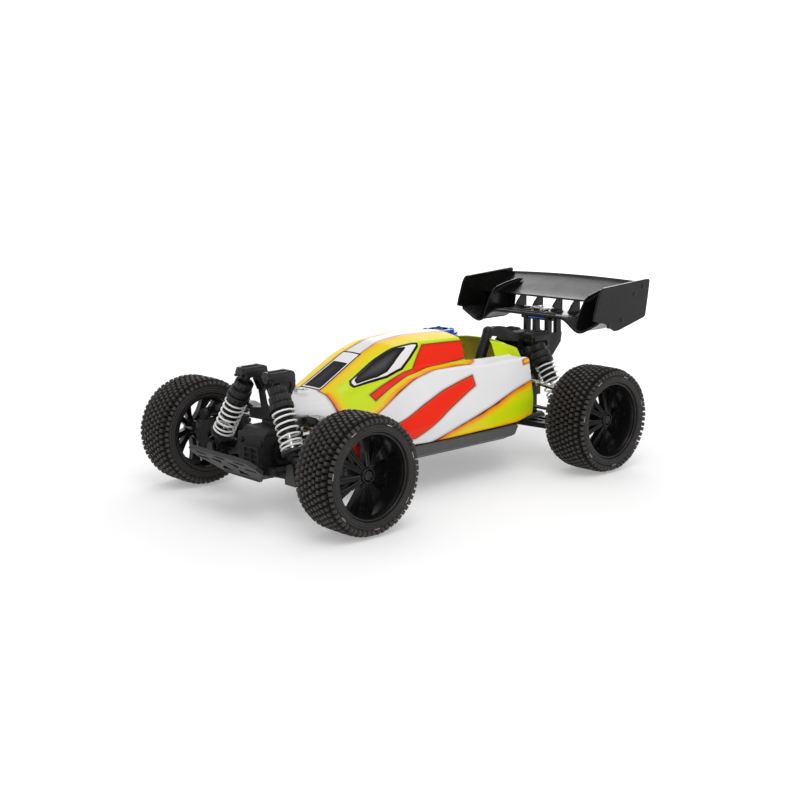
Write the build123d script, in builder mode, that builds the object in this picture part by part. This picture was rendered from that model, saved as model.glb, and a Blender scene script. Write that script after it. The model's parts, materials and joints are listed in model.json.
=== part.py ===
from build123d import *
import math
import os

# Tenth-scale four-wheel-drive nitro racing buggy.
# +X is the car's left, -Y is the front, +Z is up, z = 0 is the ground.
# Longitudinal positions are given from the middle of the wheelbase and moved
# by YM, so that the origin is the centre of the whole car's footprint.

YM = -20.7          # middle of the wheelbase
WB = 268.0          # wheelbase
AX_Z = 45.0         # axle height
TYRE_R = 45.0       # tyre radius over the pins
RIM_R = 31.0        # bead seat radius
BARREL_R = 29.0     # inside of the rim barrel
FRONT_OUT, FRONT_IN = 125.0, 85.0   # front tyre faces
REAR_OUT, REAR_IN = 123.0, 81.0     # rear tyre faces

PIN_R = 1.5         # hinge pins
BORE_R = 1.6        # running bores on the pins

ARM_IN = (24.0, 33.0)       # lower arm inner pivot, x and z
ARM_OUT_F = (86.0, 30.0)    # lower arm outer pin, front
ARM_OUT_R = (84.0, 30.0)    # lower arm outer pin, rear
UP_IN = (28.0, 70.0)        # upper arm inner pivot
UP_OUT_F = (83.0, 63.0)     # upper arm outer pivot, front
UP_OUT_R = (80.0, 63.0)     # upper link outer pivot, rear
KING_X = 90.0               # kingpin
STEER_ARM = 14.0            # kingpin to tie rod stud
SHOCK_TOP = (17.0, 104.0)
SHOCK_LOW = (53.0, 42.0)
FRONT_SHOCK_Y = (-141.0, -149.0)
REAR_SHOCK_Y = (148.0, 148.0)
DRIVE_Z = 48.0              # centre shafts
CRANK = (-17.0, 61.32)      # crankshaft, x and z
ROD_Z = 61.6                # tie rods
PLATE_T = 2.5               # chassis plate
CHASSIS_Z = 28.0            # chassis underside

os.makedirs("parts", exist_ok=True)


def Y(yc):
    return YM + yc


YF, YR = Y(-WB / 2), Y(WB / 2)


def ccw(pts):
    a = sum(p[0] * q[1] - q[0] * p[1] for p, q in zip(pts, pts[1:] + pts[:1]))
    return list(pts) if a > 0 else list(reversed(pts))


def prism_z(pts, z0, z1, mode=Mode.ADD):
    with BuildSketch(Plane.XY.offset(z0)) as sk:
        Polygon(*ccw(pts), align=None)
    extrude(sk.sketch, amount=z1 - z0, mode=mode)


def prism_x(pts, x0, x1, mode=Mode.ADD):
    # pts are (y, z)
    lo, hi = min(x0, x1), max(x0, x1)
    with BuildSketch(Plane(origin=(lo, 0, 0), x_dir=(0, 1, 0), z_dir=(1, 0, 0))) as sk:
        Polygon(*ccw(pts), align=None)
    extrude(sk.sketch, amount=hi - lo, mode=mode)


def prism_y(pts, y0, y1, mode=Mode.ADD):
    # pts are (x, z)
    lo, hi = min(y0, y1), max(y0, y1)
    with BuildSketch(Plane(origin=(0, lo, 0), x_dir=(-1, 0, 0), z_dir=(0, 1, 0))) as sk:
        Polygon(*ccw([(-x, z) for x, z in pts]), align=None)
    extrude(sk.sketch, amount=hi - lo, mode=mode)


def rod(p, q, r, mode=Mode.ADD):
    d = Vector(*q) - Vector(*p)
    with BuildSketch(Plane(origin=p, z_dir=d)) as sk:
        Circle(r)
    extrude(sk.sketch, amount=d.length, mode=mode)


def box(x0, x1, y0, y1, z0, z1, mode=Mode.ADD):
    with Locations(((x0 + x1) / 2, (y0 + y1) / 2, (z0 + z1) / 2)):
        Box(abs(x1 - x0), abs(y1 - y0), abs(z1 - z0), mode=mode)


def ball(p, r, mode=Mode.ADD):
    with Locations(p):
        Sphere(r, mode=mode)


def save(part, name):
    part.label = name
    export_step(part, "parts/" + name + ".step")
    print(name, len(part.solids()), round(part.volume))


# ---------------------------------------------------------------- chassis
with BuildPart() as chassis_plate:
    prism_z([(-19, Y(-158)), (19, Y(-158)), (19, Y(-116)), (48, Y(-78)), (50, Y(-60)),
             (50, Y(60)), (48, Y(88)), (19, Y(116)), (19, Y(158)), (-19, Y(158)),
             (-19, Y(116)), (-48, Y(88)), (-50, Y(60)), (-50, Y(-60)), (-48, Y(-78)),
             (-19, Y(-116))], CHASSIS_Z, CHASSIS_Z + PLATE_T)
    for s in (1, -1):
        prism_y([(s * 46, 28), (s * 51, 28), (s * 64, 34), (s * 68, 42), (s * 66, 43),
                 (s * 62.6, 36), (s * 50.4, 30.5), (s * 46, 30.5)], Y(-66), Y(74))
    # relief under the flywheel
    box(-27, -7, Y(36), Y(42.5), 27, 31, mode=Mode.SUBTRACT)
save(chassis_plate.part, "chassis_plate")

with BuildPart() as front_bumper:
    # flat tongue against the chassis nose, then a shield kicked up and forwards
    prism_z([(-19, Y(-158)), (19, Y(-158)), (24, Y(-163)), (-24, Y(-163))], 28, 31.4)
    with BuildSketch(Plane(origin=(0, Y(-161.9), 28.4), x_dir=(1, 0, 0), z_dir=(0, -0.655, -0.756))):
        # y runs up the shield
        Polygon(*ccw([(-24, -0.8), (24, -0.8), (33, 9), (43, 17), (43, 24), (38, 31), (-38, 31), (-43, 24),
                      (-43, 17), (-33, 9)]), align=None)
        with Locations((-25, 26.9), (0, 27.2), (25, 26.9)):
            SlotOverall(14, 3.4, mode=Mode.SUBTRACT)
        with Locations((-31, 18.5), (31, 18.5)):
            SlotOverall(15, 3.4, mode=Mode.SUBTRACT)
        for s in (1, -1):
            Polygon(*ccw([(s * 4, 22.5), (s * 17, 22.5), (s * 17, 18.8), (s * 10, 15.6)]), align=None, mode=Mode.SUBTRACT)
            Polygon(*ccw([(s * 4, 6), (s * 17, 6), (s * 17, 9), (s * 9, 13)]), align=None, mode=Mode.SUBTRACT)
    extrude(amount=-3.2)
save(front_bumper.part, "front_bumper")


# ---------------------------------------------------------------- gearboxes
def gearbox(axle_y, sgn, lug):
    """Differential case on the chassis: sgn points towards the car's middle."""
    mid = axle_y - 2 * sgn
    box(-17, 17, mid - 17, mid + 17, 30.5, 60)
    prism_x([(mid - 15 * sgn, 60), (mid + 10 * sgn, 60), (mid + 6 * sgn, 64), (mid - 11 * sgn, 64)], -15, 15)
    # output bosses and cups
    rod((-20, axle_y, AX_Z), (20, axle_y, AX_Z), 11)
    for s in (1, -1):
        rod((s * 20, axle_y, AX_Z), (s * 26, axle_y, AX_Z), 5.2)
        rod((s * 21.0, axle_y, AX_Z), (s * 27, axle_y, AX_Z), 4.0, mode=Mode.SUBTRACT)
    # nose for the centre shaft
    rod((0, mid + 17 * sgn, DRIVE_Z), (0, mid + 19 * sgn, DRIVE_Z), 7)
    # lower hinge pin holders, with the pins
    for s in (1, -1):
        for y0, y1 in ((axle_y - 18.5, axle_y - 14.6), (axle_y + 14.6, axle_y + 18.5)):
            box(s * 10, s * 24, y0, y1, 30.5, 37)
            rod((s * 24, y0, 33), (s * 24, y1, 33), 3.4)
        rod((s * ARM_IN[0], axle_y - 18.5, ARM_IN[1]), (s * ARM_IN[0], axle_y + 18.5, ARM_IN[1]), PIN_R)
    # case ribs and seam
    for k in (-9, 0, 9):
        box(k - 0.8, k + 0.8, mid - 18, mid + 18, 36, 49)
    if lug:
        # bracket for the rear upper links
        box(-31, 31, axle_y - 3, axle_y, 62, 68)
        for s in (1, -1):
            rod((s * UP_IN[0], axle_y - 3, UP_IN[1]), (s * UP_IN[0], axle_y, UP_IN[1]), 4)
            rod((s * UP_IN[0], axle_y - 10.6, UP_IN[1]), (s * UP_IN[0], axle_y - 3, UP_IN[1]), PIN_R)
            rod((s * UP_IN[0], axle_y - 11.8, UP_IN[1]), (s * UP_IN[0], axle_y - 10.4, UP_IN[1]), 2.6)


with BuildPart() as front_gearbox:
    gearbox(YF, 1, False)
save(front_gearbox.part, "front_gearbox")

with BuildPart() as rear_gearbox:
    gearbox(YR, -1, True)
save(rear_gearbox.part, "rear_gearbox")


# ---------------------------------------------------------------- shock towers
def tower(y0, y1, fwd, shock_y, upper_pins):
    """Plate from y0 to y1; fwd is the side the shocks hang on (-1 or +1 in y)."""
    face = y0 if fwd < 0 else y1
    outline = [(-13, 64.2), (13, 64.2), (16, 76), (19, 90), (24.5, 97), (24.5, 106.6), (22.5, 108.8),
               (12, 108.8), (9.4, 100), (-9.4, 100), (-12, 108.8), (-22.5, 108.8), (-24.5, 106.6), (-24.5, 97),
               (-19, 90), (-16, 76)]
    prism_y(outline, y0, y1)
    prism_y([(-5, 70), (5, 70), (0, 80)], y0 - 1, y1 + 1, mode=Mode.SUBTRACT)
    prism_y([(-7, 97), (7, 97), (0, 84)], y0 - 1, y1 + 1, mode=Mode.SUBTRACT)
    for s in (1, -1):
        prism_y([(s * 3, 82), (s * 8, 73), (s * 12.5, 79), (s * 15, 88), (s * 9.5, 94)],
                y0 - 1, y1 + 1, mode=Mode.SUBTRACT)
        # hood over each shock's top eye
        far = shock_y + fwd * 6.4
        prism_y([(s * 10.2, 101.6), (s * 10.2, 106.4), (s * 12.4, 108.8), (s * 22.3, 108.8), (s * 24.5, 106.6),
                 (s * 24.5, 101.6)], min(far, face), max(far, face))
        inner = shock_y + fwd * 4.8
        box(s * 11.7, s * 23.0, min(inner, face), max(inner, face), 100.6, 107.4, mode=Mode.SUBTRACT)
        rod((s * SHOCK_TOP[0], face, SHOCK_TOP[1]), (s * SHOCK_TOP[0], far, SHOCK_TOP[1]), PIN_R)
        rod((s * SHOCK_TOP[0], far, SHOCK_TOP[1]), (s * SHOCK_TOP[0], far + fwd * 1.6, SHOCK_TOP[1]), 3.2)
        if upper_pins:
            back = y1 if fwd < 0 else y0
            rod((s * UP_IN[0], y0, UP_IN[1]), (s * UP_IN[0], y1, UP_IN[1]), 4.4)
            prism_y([(s * 12, 66), (s * 28, 66), (s * 28, 74), (s * 14, 76)], y0, y1)
            rod((s * UP_IN[0], back, UP_IN[1]), (s * UP_IN[0], back - fwd * 9.0, UP_IN[1]), PIN_R)
            rod((s * UP_IN[0], back - fwd * 8.8, UP_IN[1]), (s * UP_IN[0], back - fwd * 10.2, UP_IN[1]), 2.6)


with BuildPart() as front_shock_tower:
    tower(Y(-131), Y(-127), -1, Y(FRONT_SHOCK_Y[0]), True)
    box(-12, 12, Y(-133.5), Y(-124), 64.0, 67)
save(front_shock_tower.part, "front_shock_tower")

with BuildPart() as rear_shock_tower:
    tower(Y(158), Y(162), -1, Y(REAR_SHOCK_Y[0]), False)
    prism_y([(-13, 50), (13, 50), (13, 64.3), (-13, 64.3)], Y(158), Y(162))
    box(-13, 13, Y(153.1), Y(158.1), 50, 56)
save(rear_shock_tower.part, "rear_shock_tower")

# ---------------------------------------------------------------- wing and its mount
WING_LOW = 123.0
with BuildPart() as wing_mount:
    for s in (1, -1):
        prism_x([(Y(162), 78), (Y(168), 76), (Y(175.5), 84), (Y(187), 96), (Y(188.5), 104), (Y(187.5), 106),
                 (Y(187), 122), (Y(181), 122), (Y(181), 105), (Y(174.8), 105), (Y(174.8), 122),
                 (Y(168.8), 122), (Y(168.8), 104), (Y(162), 100)], s * 11, s * 15)
    for z in (82, 95):
        box(-11, 11, Y(162), Y(165), z - 2.5, z + 2.5)
    # blue cross rod
    rod((-19, Y(171.8), 118.5), (19, Y(171.8), 118.5), 1.7)
    # saddle under the wing
    box(-15, 15, Y(168.8), Y(187), 120.5, WING_LOW)
save(wing_mount.part, "wing_mount")

with BuildPart() as wing:
    half, t = 85.0, 2.0
    # lower plane: flat middle, then a dip before each end plate
    low = [(-84, 121.5), (-70, 114), (-58, 112), (-44, WING_LOW), (44, WING_LOW), (58, 112), (70, 114), (84, 121.5),
           (84, 123.5), (69.5, 116), (58.8, 114.1), (44.8, WING_LOW + t), (-44.8, WING_LOW + t), (-58.8, 114.1),
           (-69.5, 116), (-84, 123.5)]
    prism_y(low, Y(157), Y(191))
    # upper blade, rising to the rear
    prism_x([(Y(186), 133), (Y(191), 133), (Y(205), 139), (Y(216), 145), (Y(226), 152.5), (Y(225), 154.3),
             (Y(214), 147.2), (Y(203.5), 141.3), (Y(190), 135.3), (Y(186), 135.3)], -84, 84)
    # swept ends of the lower plane climbing to the blade
    for s in (1, -1):
        # end plates
        prism_x([(Y(150.5), 124.5), (Y(161), 151), (Y(163), 152.3), (Y(224.5), 156), (Y(226.7), 154),
                 (Y(221), 122.5), (Y(183), 113), (Y(179), 113), (Y(167), 120.5)], s * half, s * (half - 2.2))
        # inner fins
        prism_x([(Y(158), 112.8), (Y(172), 141), (Y(196), 148), (Y(213), 146), (Y(190), 133.5), (Y(190), 112.8)],
                s * 56, s * 58)
        # ribs between the plane and the blade
        for x in (12, 33):
            prism_x([(Y(176), WING_LOW + 1), (Y(184), 134.6), (Y(191), 134.6), (Y(191), WING_LOW + 1)],
                    s * (x - 1.5), s * (x + 1.5))
save(wing.part, "wing")

# ---------------------------------------------------------------- body shell
# (y, half profile of (x, z) from the lower edge to the roof's middle)
BODY = [
    (-124, [(13, 70.5), (15.5, 72), (16, 73.6), (15, 75.4), (13, 77), (10, 78.2), (6, 79), (0, 79.3)]),
    (-110, [(25, 66), (27.5, 69.5), (27.5, 73), (25, 77), (22, 79.5), (17, 82), (9, 83.4), (0, 83.8)]),
    (-93, [(38, 58.5), (41, 63), (40, 69), (36, 75.5), (30, 81.5), (23, 86.3), (12.5, 88.4), (0, 88.7)]),
    (-72, [(54, 50), (57, 57), (53, 71), (44, 78), (34, 84), (25.5, 97), (12.5, 99.9), (0, 100.2)]),
    (-51, [(65, 44.5), (67, 56), (55, 86), (46, 89), (36, 91), (26, 108.2), (12.3, 111.4), (0, 111.8)]),
    (-30, [(66.5, 44), (68, 58), (53, 94), (44, 95.5), (36.5, 97), (26.5, 115.5), (12.5, 119.2), (0, 120)]),
    (-5, [(67, 44), (68, 60), (51, 97), (43.5, 98.3), (36.5, 99.5), (27.5, 117.6), (13, 121.6), (0, 122.5)]),
    (22, [(67, 44.3), (67.6, 60), (50.5, 98), (43.5, 99.2), (36.5, 100.6), (28.5, 116.6), (13, 120.4), (0, 121.4)]),
    (47, [(67, 44.6), (67, 60), (51, 98), (44, 99), (36.5, 100.4), (29.5, 114.2), (14, 117.8), (0, 118.8)]),
    (75, [(66.5, 45), (66, 62), (54, 98), (45, 98.3), (37, 99), (31, 110.6), (15, 113.4), (0, 114)]),
    (97, [(63, 48.5), (64, 62), (58.5, 97), (47, 96), (37, 96), (31.5, 106), (15, 108.2), (0, 108.6)]),
]
TAIL = [(90, [(37, 84), (36.6, 97), (31.4, 107.2), (15, 109.6), (0, 110)]),
        (112, [(36, 84), (35.6, 93), (30.5, 100.6), (15, 102.4), (0, 102.8)])]
SKIN = 1.5


def half_offset(pts, t):
    out = []
    for i, p in enumerate(pts):
        a = pts[max(i - 1, 0)]
        b = pts[min(i + 1, len(pts) - 1)]
        dx, dz = b[0] - a[0], b[1] - a[1]
        n = math.hypot(dx, dz)
        nx, nz = -dz / n, dx / n          # inward, for a path climbing from the edge to the roof
        if i == len(pts) - 1:
            nx, nz = 0, -1
        out.append((p[0] + nx * t, p[1] + nz * t))
    return out


def section(y, pts):
    full = [(-x, z) for x, z in pts[:-1]] + [pts[-1]] + [(x, z) for x, z in reversed(pts[:-1])]
    with BuildSketch(Plane(origin=(0, y, 0), x_dir=(-1, 0, 0), z_dir=(0, 1, 0))) as sk:
        Polygon(*ccw([(-x, z) for x, z in full]), align=None)
    return sk.sketch


def drop(pts, t, d):
    q = half_offset(pts, t)
    q[0] = (q[0][0] + (q[0][0] - q[1][0]) * d / 10.0, q[0][1] - d)
    return q


with BuildPart() as body_shell:
    loft([section(Y(y), pts) for y, pts in BODY], ruled=True)
    loft([section(Y(y), pts) for y, pts in TAIL], ruled=True)
    inner = []
    for i, (y, pts) in enumerate(BODY):
        yy = y + 2 if i == 0 else (y + 1.0 if i == len(BODY) - 1 else y)
        inner.append(section(Y(yy), drop(pts, SKIN, 3)))
    loft(inner, ruled=True, mode=Mode.SUBTRACT)
    inner = [section(Y(y), drop(pts, SKIN, 14)) for y, pts in ((86, TAIL[0][1]), (113, TAIL[1][1]))]
    loft(inner, ruled=True, mode=Mode.SUBTRACT)
    # open roof behind the cab
    prism_z([(-28, Y(47)), (28, Y(47)), (28, Y(95)), (-28, Y(95))], 100, 125, mode=Mode.SUBTRACT)
    # cut-out in the left side wall over the pod
    prism_y([(20, 122), (45, 122), (45, 100.8), (38, 100.2), (20, 100.2)], Y(41), Y(77), mode=Mode.SUBTRACT)
    # round opening over the engine's head, and a notch for the roll bar
    rod((-17, Y(62), 96), (-17, Y(62), 128), 18.6, mode=Mode.SUBTRACT)
    box(1, 17, Y(94), Y(104), 96, 120, mode=Mode.SUBTRACT)
save(body_shell.part, "body_shell")


# ---------------------------------------------------------------- clips
def r_clip(p, up):
    """Bent wire clip, lying along +X at p."""
    x, y, z = p
    rod((x - 9, y, z), (x + 9.2, y, z), 0.6)
    with Locations(Location((x + 11, y, z + 1.0), (0 if up else 90, 0, 0))):
        Torus(2.4, 0.6)


with BuildPart() as spring_clips:
    r_clip((-8, Y(172.5), WING_LOW + 5.0), True)
    r_clip((9, Y(167), WING_LOW + 5.0), True)
    r_clip((-3, Y(-106), 89.0), True)
    for x, y in ((-8, Y(172.5)), (9, Y(167))):
        rod((x, y, WING_LOW + 2.0), (x, y, WING_LOW + 4.39), 1.6)
    rod((-3, Y(-106), 86.2), (-3, Y(-106), 88.39), 1.6)
save(spring_clips.part, "spring_clips")

with BuildPart() as roll_bar:
    # foot on the radio tray, leaning post and beam back to the rear tower
    box(-3, 28, Y(70), Y(98), 85, 88)
    rod((9, Y(86), 87), (9, Y(97.5), 114), 4.6)
    ball((9, Y(97.5), 114), 4.9)
    prism_x([(Y(97), 110), (Y(97), 117), (Y(107), 118), (Y(116), 117), (Y(124), 112.5), (Y(134), 108.5),
             (Y(134), 101.8), (Y(122), 106), (Y(112), 109)], 6.4, 11.6)
    box(-6, 11.6, Y(127), Y(134), 102.4, 108.5)
    box(-6, 6, Y(127), Y(158), 102.4, 108.5)
save(roll_bar.part, "roll_bar")

# ---------------------------------------------------------------- radio gear, tank, engine
with BuildPart() as radio_box:
    box(18, 49, Y(-2), Y(62), 30.5, 60)          # receiver and battery case
    box(16.5, 50.5, Y(-4), Y(64), 60, 62.5)      # lid
    box(22, 42, Y(-58), Y(-18), 30.5, 68)        # steering servo
    box(20, 44, Y(-64), Y(-58), 58, 60.5)        # its ears
    box(20, 44, Y(-18), Y(-12), 58, 60.5)
    rod((32, Y(-50), 68), (32, Y(-50), 72), 5)   # output horn
    box(8, 34, Y(-53), Y(-47), 72, 74)
    # tray carrying the roll bar foot
    prism_z([(-4, Y(69)), (30, Y(69)), (30, Y(99)), (-4, Y(99))], 82.6, 85)
    rod((26, Y(80), 30.5), (26, Y(80), 83), 3)
    rod((9, Y(95), 30.5), (9, Y(95), 83), 2.2)
save(radio_box.part, "radio_box")

with BuildPart() as fuel_tank:
    box(-49, -14, Y(-42), Y(10), 30.5, 76)
    fillet(fuel_tank.edges().filter_by(Axis.Z), 6)
    rod((-34, Y(-16), 76), (-34, Y(-16), 82), 11)
    rod((-34, Y(-16), 82), (-34, Y(-16), 84.5), 12.5)
    box(-37, -31, Y(-29), Y(-26), 78, 86)
save(fuel_tank.part, "fuel_tank")

with BuildPart() as engine_block:
    cx, cz = CRANK
    rod((cx, Y(46), cz), (cx, Y(80), cz), 12.5)
    box(cx - 11, cx + 11, Y(51), Y(73), cz - 12, 86)
    rod((cx, Y(62), 84), (cx, Y(62), 92), 12)
    rod((cx, Y(80), cz), (cx, Y(86), cz), 15.5)       # backplate and starter case
    rod((cx, Y(44.6), cz), (cx, Y(46), cz), 6)        # front bearing
    box(cx - 22, cx + 11, Y(50), Y(56), 47, 52)       # mounting lugs
    box(cx - 20, cx - 12, Y(50), Y(56), 30.5, 48)
    box(cx + 3, cx + 10.5, Y(50), Y(56), 30.5, 48)
    rod((cx + 4, Y(49), cz + 12), (cx + 10, Y(49), 90), 4.5)    # carburettor
    rod((cx + 6, Y(49), 82), (cx + 24, Y(49), 82), 3)
save(engine_block.part, "engine_block")

with BuildPart() as cooling_head:
    # finned heat sink head
    rod((cx, Y(62), 92), (cx, Y(62), 116.4), 8)
    for k in range(8):
        z = 92.6 + k * 3.0
        rod((cx, Y(62), z), (cx, Y(62), z + 1.8), 17)
    rod((cx, Y(62), 115.0), (cx, Y(62), 117.6), 14)
    rod((cx, Y(62), 112), (cx, Y(62), 118), 3.2, mode=Mode.SUBTRACT)
save(cooling_head.part, "cooling_head")

with BuildPart() as exhaust_pipe:
    rod((-46, Y(48), 66), (-46, Y(92), 66), 11)
    rod((-46, Y(92), 66), (-46, Y(96), 66), 7)
    rod((-46, Y(95), 66), (-46, Y(108), 66), 2.6)
    rod((-28, Y(62), 73.6), (-42, Y(62), 73.6), 5.2)
    ball((-46, Y(48), 66), 11)
save(exhaust_pipe.part, "exhaust_pipe")


# ---------------------------------------------------------------- drive line
def gear(cx0, cz0, teeth, root, pitch, tip, w_root, w_pitch, w_tip, phase, y0, y1):
    pts = []
    for k in range(teeth):
        a = phase + 2 * math.pi * k / teeth
        for r, w in ((root, -w_root), (pitch, -w_pitch), (tip, -w_tip), (tip, w_tip), (pitch, w_pitch), (root, w_root)):
            b = a + w / 2 / r
            pts.append((cx0 + r * math.cos(b), cz0 + r * math.sin(b)))
    prism_y(pts, y0, y1)


SPUR_T, BELL_T, MOD = 40, 14, 0.8
SPUR_P, BELL_P = SPUR_T * MOD / 2, BELL_T * MOD / 2
# direction from the spur's centre to the crank
MESH = math.atan2(CRANK[1] - DRIVE_Z, CRANK[0])
with BuildPart() as centre_drive:
    gear(0, DRIVE_Z, SPUR_T, SPUR_P - 1.0, SPUR_P, SPUR_P + 0.6, 1.3, 0.95, 0.5, MESH, Y(37), Y(41))
    rod((0, Y(34), DRIVE_Z), (0, Y(37), DRIVE_Z), 9.4)
    rod((0, Y(41), DRIVE_Z), (0, Y(47), DRIVE_Z), 8)
    rod((0, Y(14), DRIVE_Z), (0, Y(15.5), DRIVE_Z), 15.5)     # brake disc
    rod((0, Y(12.5), DRIVE_Z), (0, Y(17), DRIVE_Z), 5)
    rod((0, Y(47), DRIVE_Z), (0, Y(52), DRIVE_Z), 4)
    # shafts to the two gearboxes
    rod((0, Y(-114.4), DRIVE_Z), (0, Y(34), DRIVE_Z), 2.5)
    rod((0, Y(-114.4), DRIVE_Z), (0, Y(-107), DRIVE_Z), 5.2)
    rod((0, Y(52), DRIVE_Z), (0, Y(114.4), DRIVE_Z), 2.5)
    rod((0, Y(107), DRIVE_Z), (0, Y(114.4), DRIVE_Z), 5.2)
save(centre_drive.part, "centre_drive")

with BuildPart() as clutch_bell:
    gear(CRANK[0], CRANK[1], BELL_T, BELL_P - 1.1, BELL_P, BELL_P + 0.6, 1.25, 0.95, 0.5,
         MESH + math.pi + math.pi / BELL_T, Y(36), Y(40.5))
    rod((CRANK[0], Y(40.5), CRANK[1]), (CRANK[0], Y(44.4), CRANK[1]), 4.2)
    rod((CRANK[0], Y(24.5), CRANK[1]), (CRANK[0], Y(36), CRANK[1]), 11.5)
save(clutch_bell.part, "clutch_bell")

# ---------------------------------------------------------------- steering
with BuildPart() as servo_saver:
    rod((0, Y(-97), 53.2), (0, Y(-97), 62), 6)
    prism_z([(-3.5, Y(-97)), (3.5, Y(-97)), (3, Y(-113)), (-3, Y(-113))], 53.2, 56)
    rod((0, Y(-113), 53.2), (0, Y(-113), 56), 3.6)
    rod((0, Y(-113), 56), (0, Y(-113), 59.6), 1.5)
    prism_z([(-3.5, Y(-97)), (3.5, Y(-97)), (3, Y(-81)), (-3, Y(-81))], 58, 61)
save(servo_saver.part, "servo_saver")

with BuildPart() as steering_plate:
    prism_z([(-19, Y(-117)), (19, Y(-117)), (19, Y(-109)), (-19, Y(-109))], 56.3, 58.6)
    rod((0, Y(-113), 56), (0, Y(-113), 59), 2.7, mode=Mode.SUBTRACT)
    for s in (1, -1):
        rod((s * 14, Y(-113), 58.6), (s * 14, Y(-113), 64.4), 1.2)
save(steering_plate.part, "steering_plate")

STUD_Y = -WB / 2 + STEER_ARM
for side, s in (("left", 1), ("right", -1)):
    with BuildPart() as tie_rod:
        ax, ay, bx, by = s * 14, Y(-113), s * KING_X, Y(STUD_Y)
        slope = (by - ay) / (bx - ax) * s
        rod((ax, ay, ROD_Z - 1.8), (ax, ay, ROD_Z + 1.8), 4.1)
        rod((bx, by, ROD_Z - 1.6), (bx, by, ROD_Z + 1.6), 4.7)
        rod((ax + s * 2.6, ay + 2.6 * slope, ROD_Z), (bx - s * 4.0, by - 4.0 * slope, ROD_Z), 1.45)
        rod((ax + s * 3, ay + 3 * slope, ROD_Z), (ax + s * 13, ay + 13 * slope, ROD_Z), 1.7)
        rod((bx - s * 14, by - 14 * slope, ROD_Z), (bx - s * 4.2, by - 4.2 * slope, ROD_Z), 1.55)
        rod((ax, ay, ROD_Z - 4), (ax, ay, ROD_Z + 4), 2.2, mode=Mode.SUBTRACT)
        rod((bx, by, ROD_Z - 4), (bx, by, ROD_Z + 4), 3.5, mode=Mode.SUBTRACT)
    save(tie_rod.part, "tie_rod_" + side)


# ---------------------------------------------------------------- suspension
def lower_arm(s, axle_y, out, shock_y):
    yi0, yi1 = axle_y - 14.2, axle_y + 14.2
    ox, oz = out
    prism_z([(s * 24, yi0), (s * 24, yi1), (s * 62, axle_y + 9.5), (s * (ox - 8), axle_y + 5.6), (s * ox, axle_y + 5.6),
             (s * ox, axle_y - 5.6), (s * (ox - 8), axle_y - 5.6), (s * 62, axle_y - 9.5)], 29.5, 34)
    rod((s * 24, yi0, 33), (s * 24, yi1, 33), 3.8)
    rod((s * ox, axle_y - 5.6, oz), (s * ox, axle_y + 5.6, oz), 3.6)
    # pockets
    for pts in ([(31, -9), (31, -1.5), (46, -1.5), (46, -6.8)], [(31, 9), (31, 1.5), (46, 1.5), (46, 6.8)],
                [(60, -6), (60, -1.5), (72, -1.5), (72, -3.4)], [(60, 6), (60, 1.5), (72, 1.5), (72, 3.4)]):
        prism_z([(s * x, axle_y + y) for x, y in pts], 31.5, 35, mode=Mode.SUBTRACT)
    # ears and pin for the shock's lower eye
    e0, e1 = shock_y - 7.2, shock_y + 7.2
    inner = axle_y - 9 if shock_y < axle_y else axle_y + 9
    box(s * 46.5, s * 59.5, min(e0, inner), max(e1, inner), 29.5, 34)
    for y0, y1 in ((e0, e0 + 2.4), (e1 - 2.4, e1)):
        prism_y([(s * 47, 33), (s * 59, 33), (s * 56.2, 44.6), (s * 53, 46), (s * 49.8, 44.6)], y0, y1)
    rod((s * SHOCK_LOW[0], e0, SHOCK_LOW[1]), (s * SHOCK_LOW[0], e1, SHOCK_LOW[1]), PIN_R)
    rod((s * 24, yi0 - 1, 33), (s * 24, yi1 + 1, 33), BORE_R, mode=Mode.SUBTRACT)
    rod((s * ox, axle_y - 7, oz), (s * ox, axle_y + 7, oz), BORE_R, mode=Mode.SUBTRACT)


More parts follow.
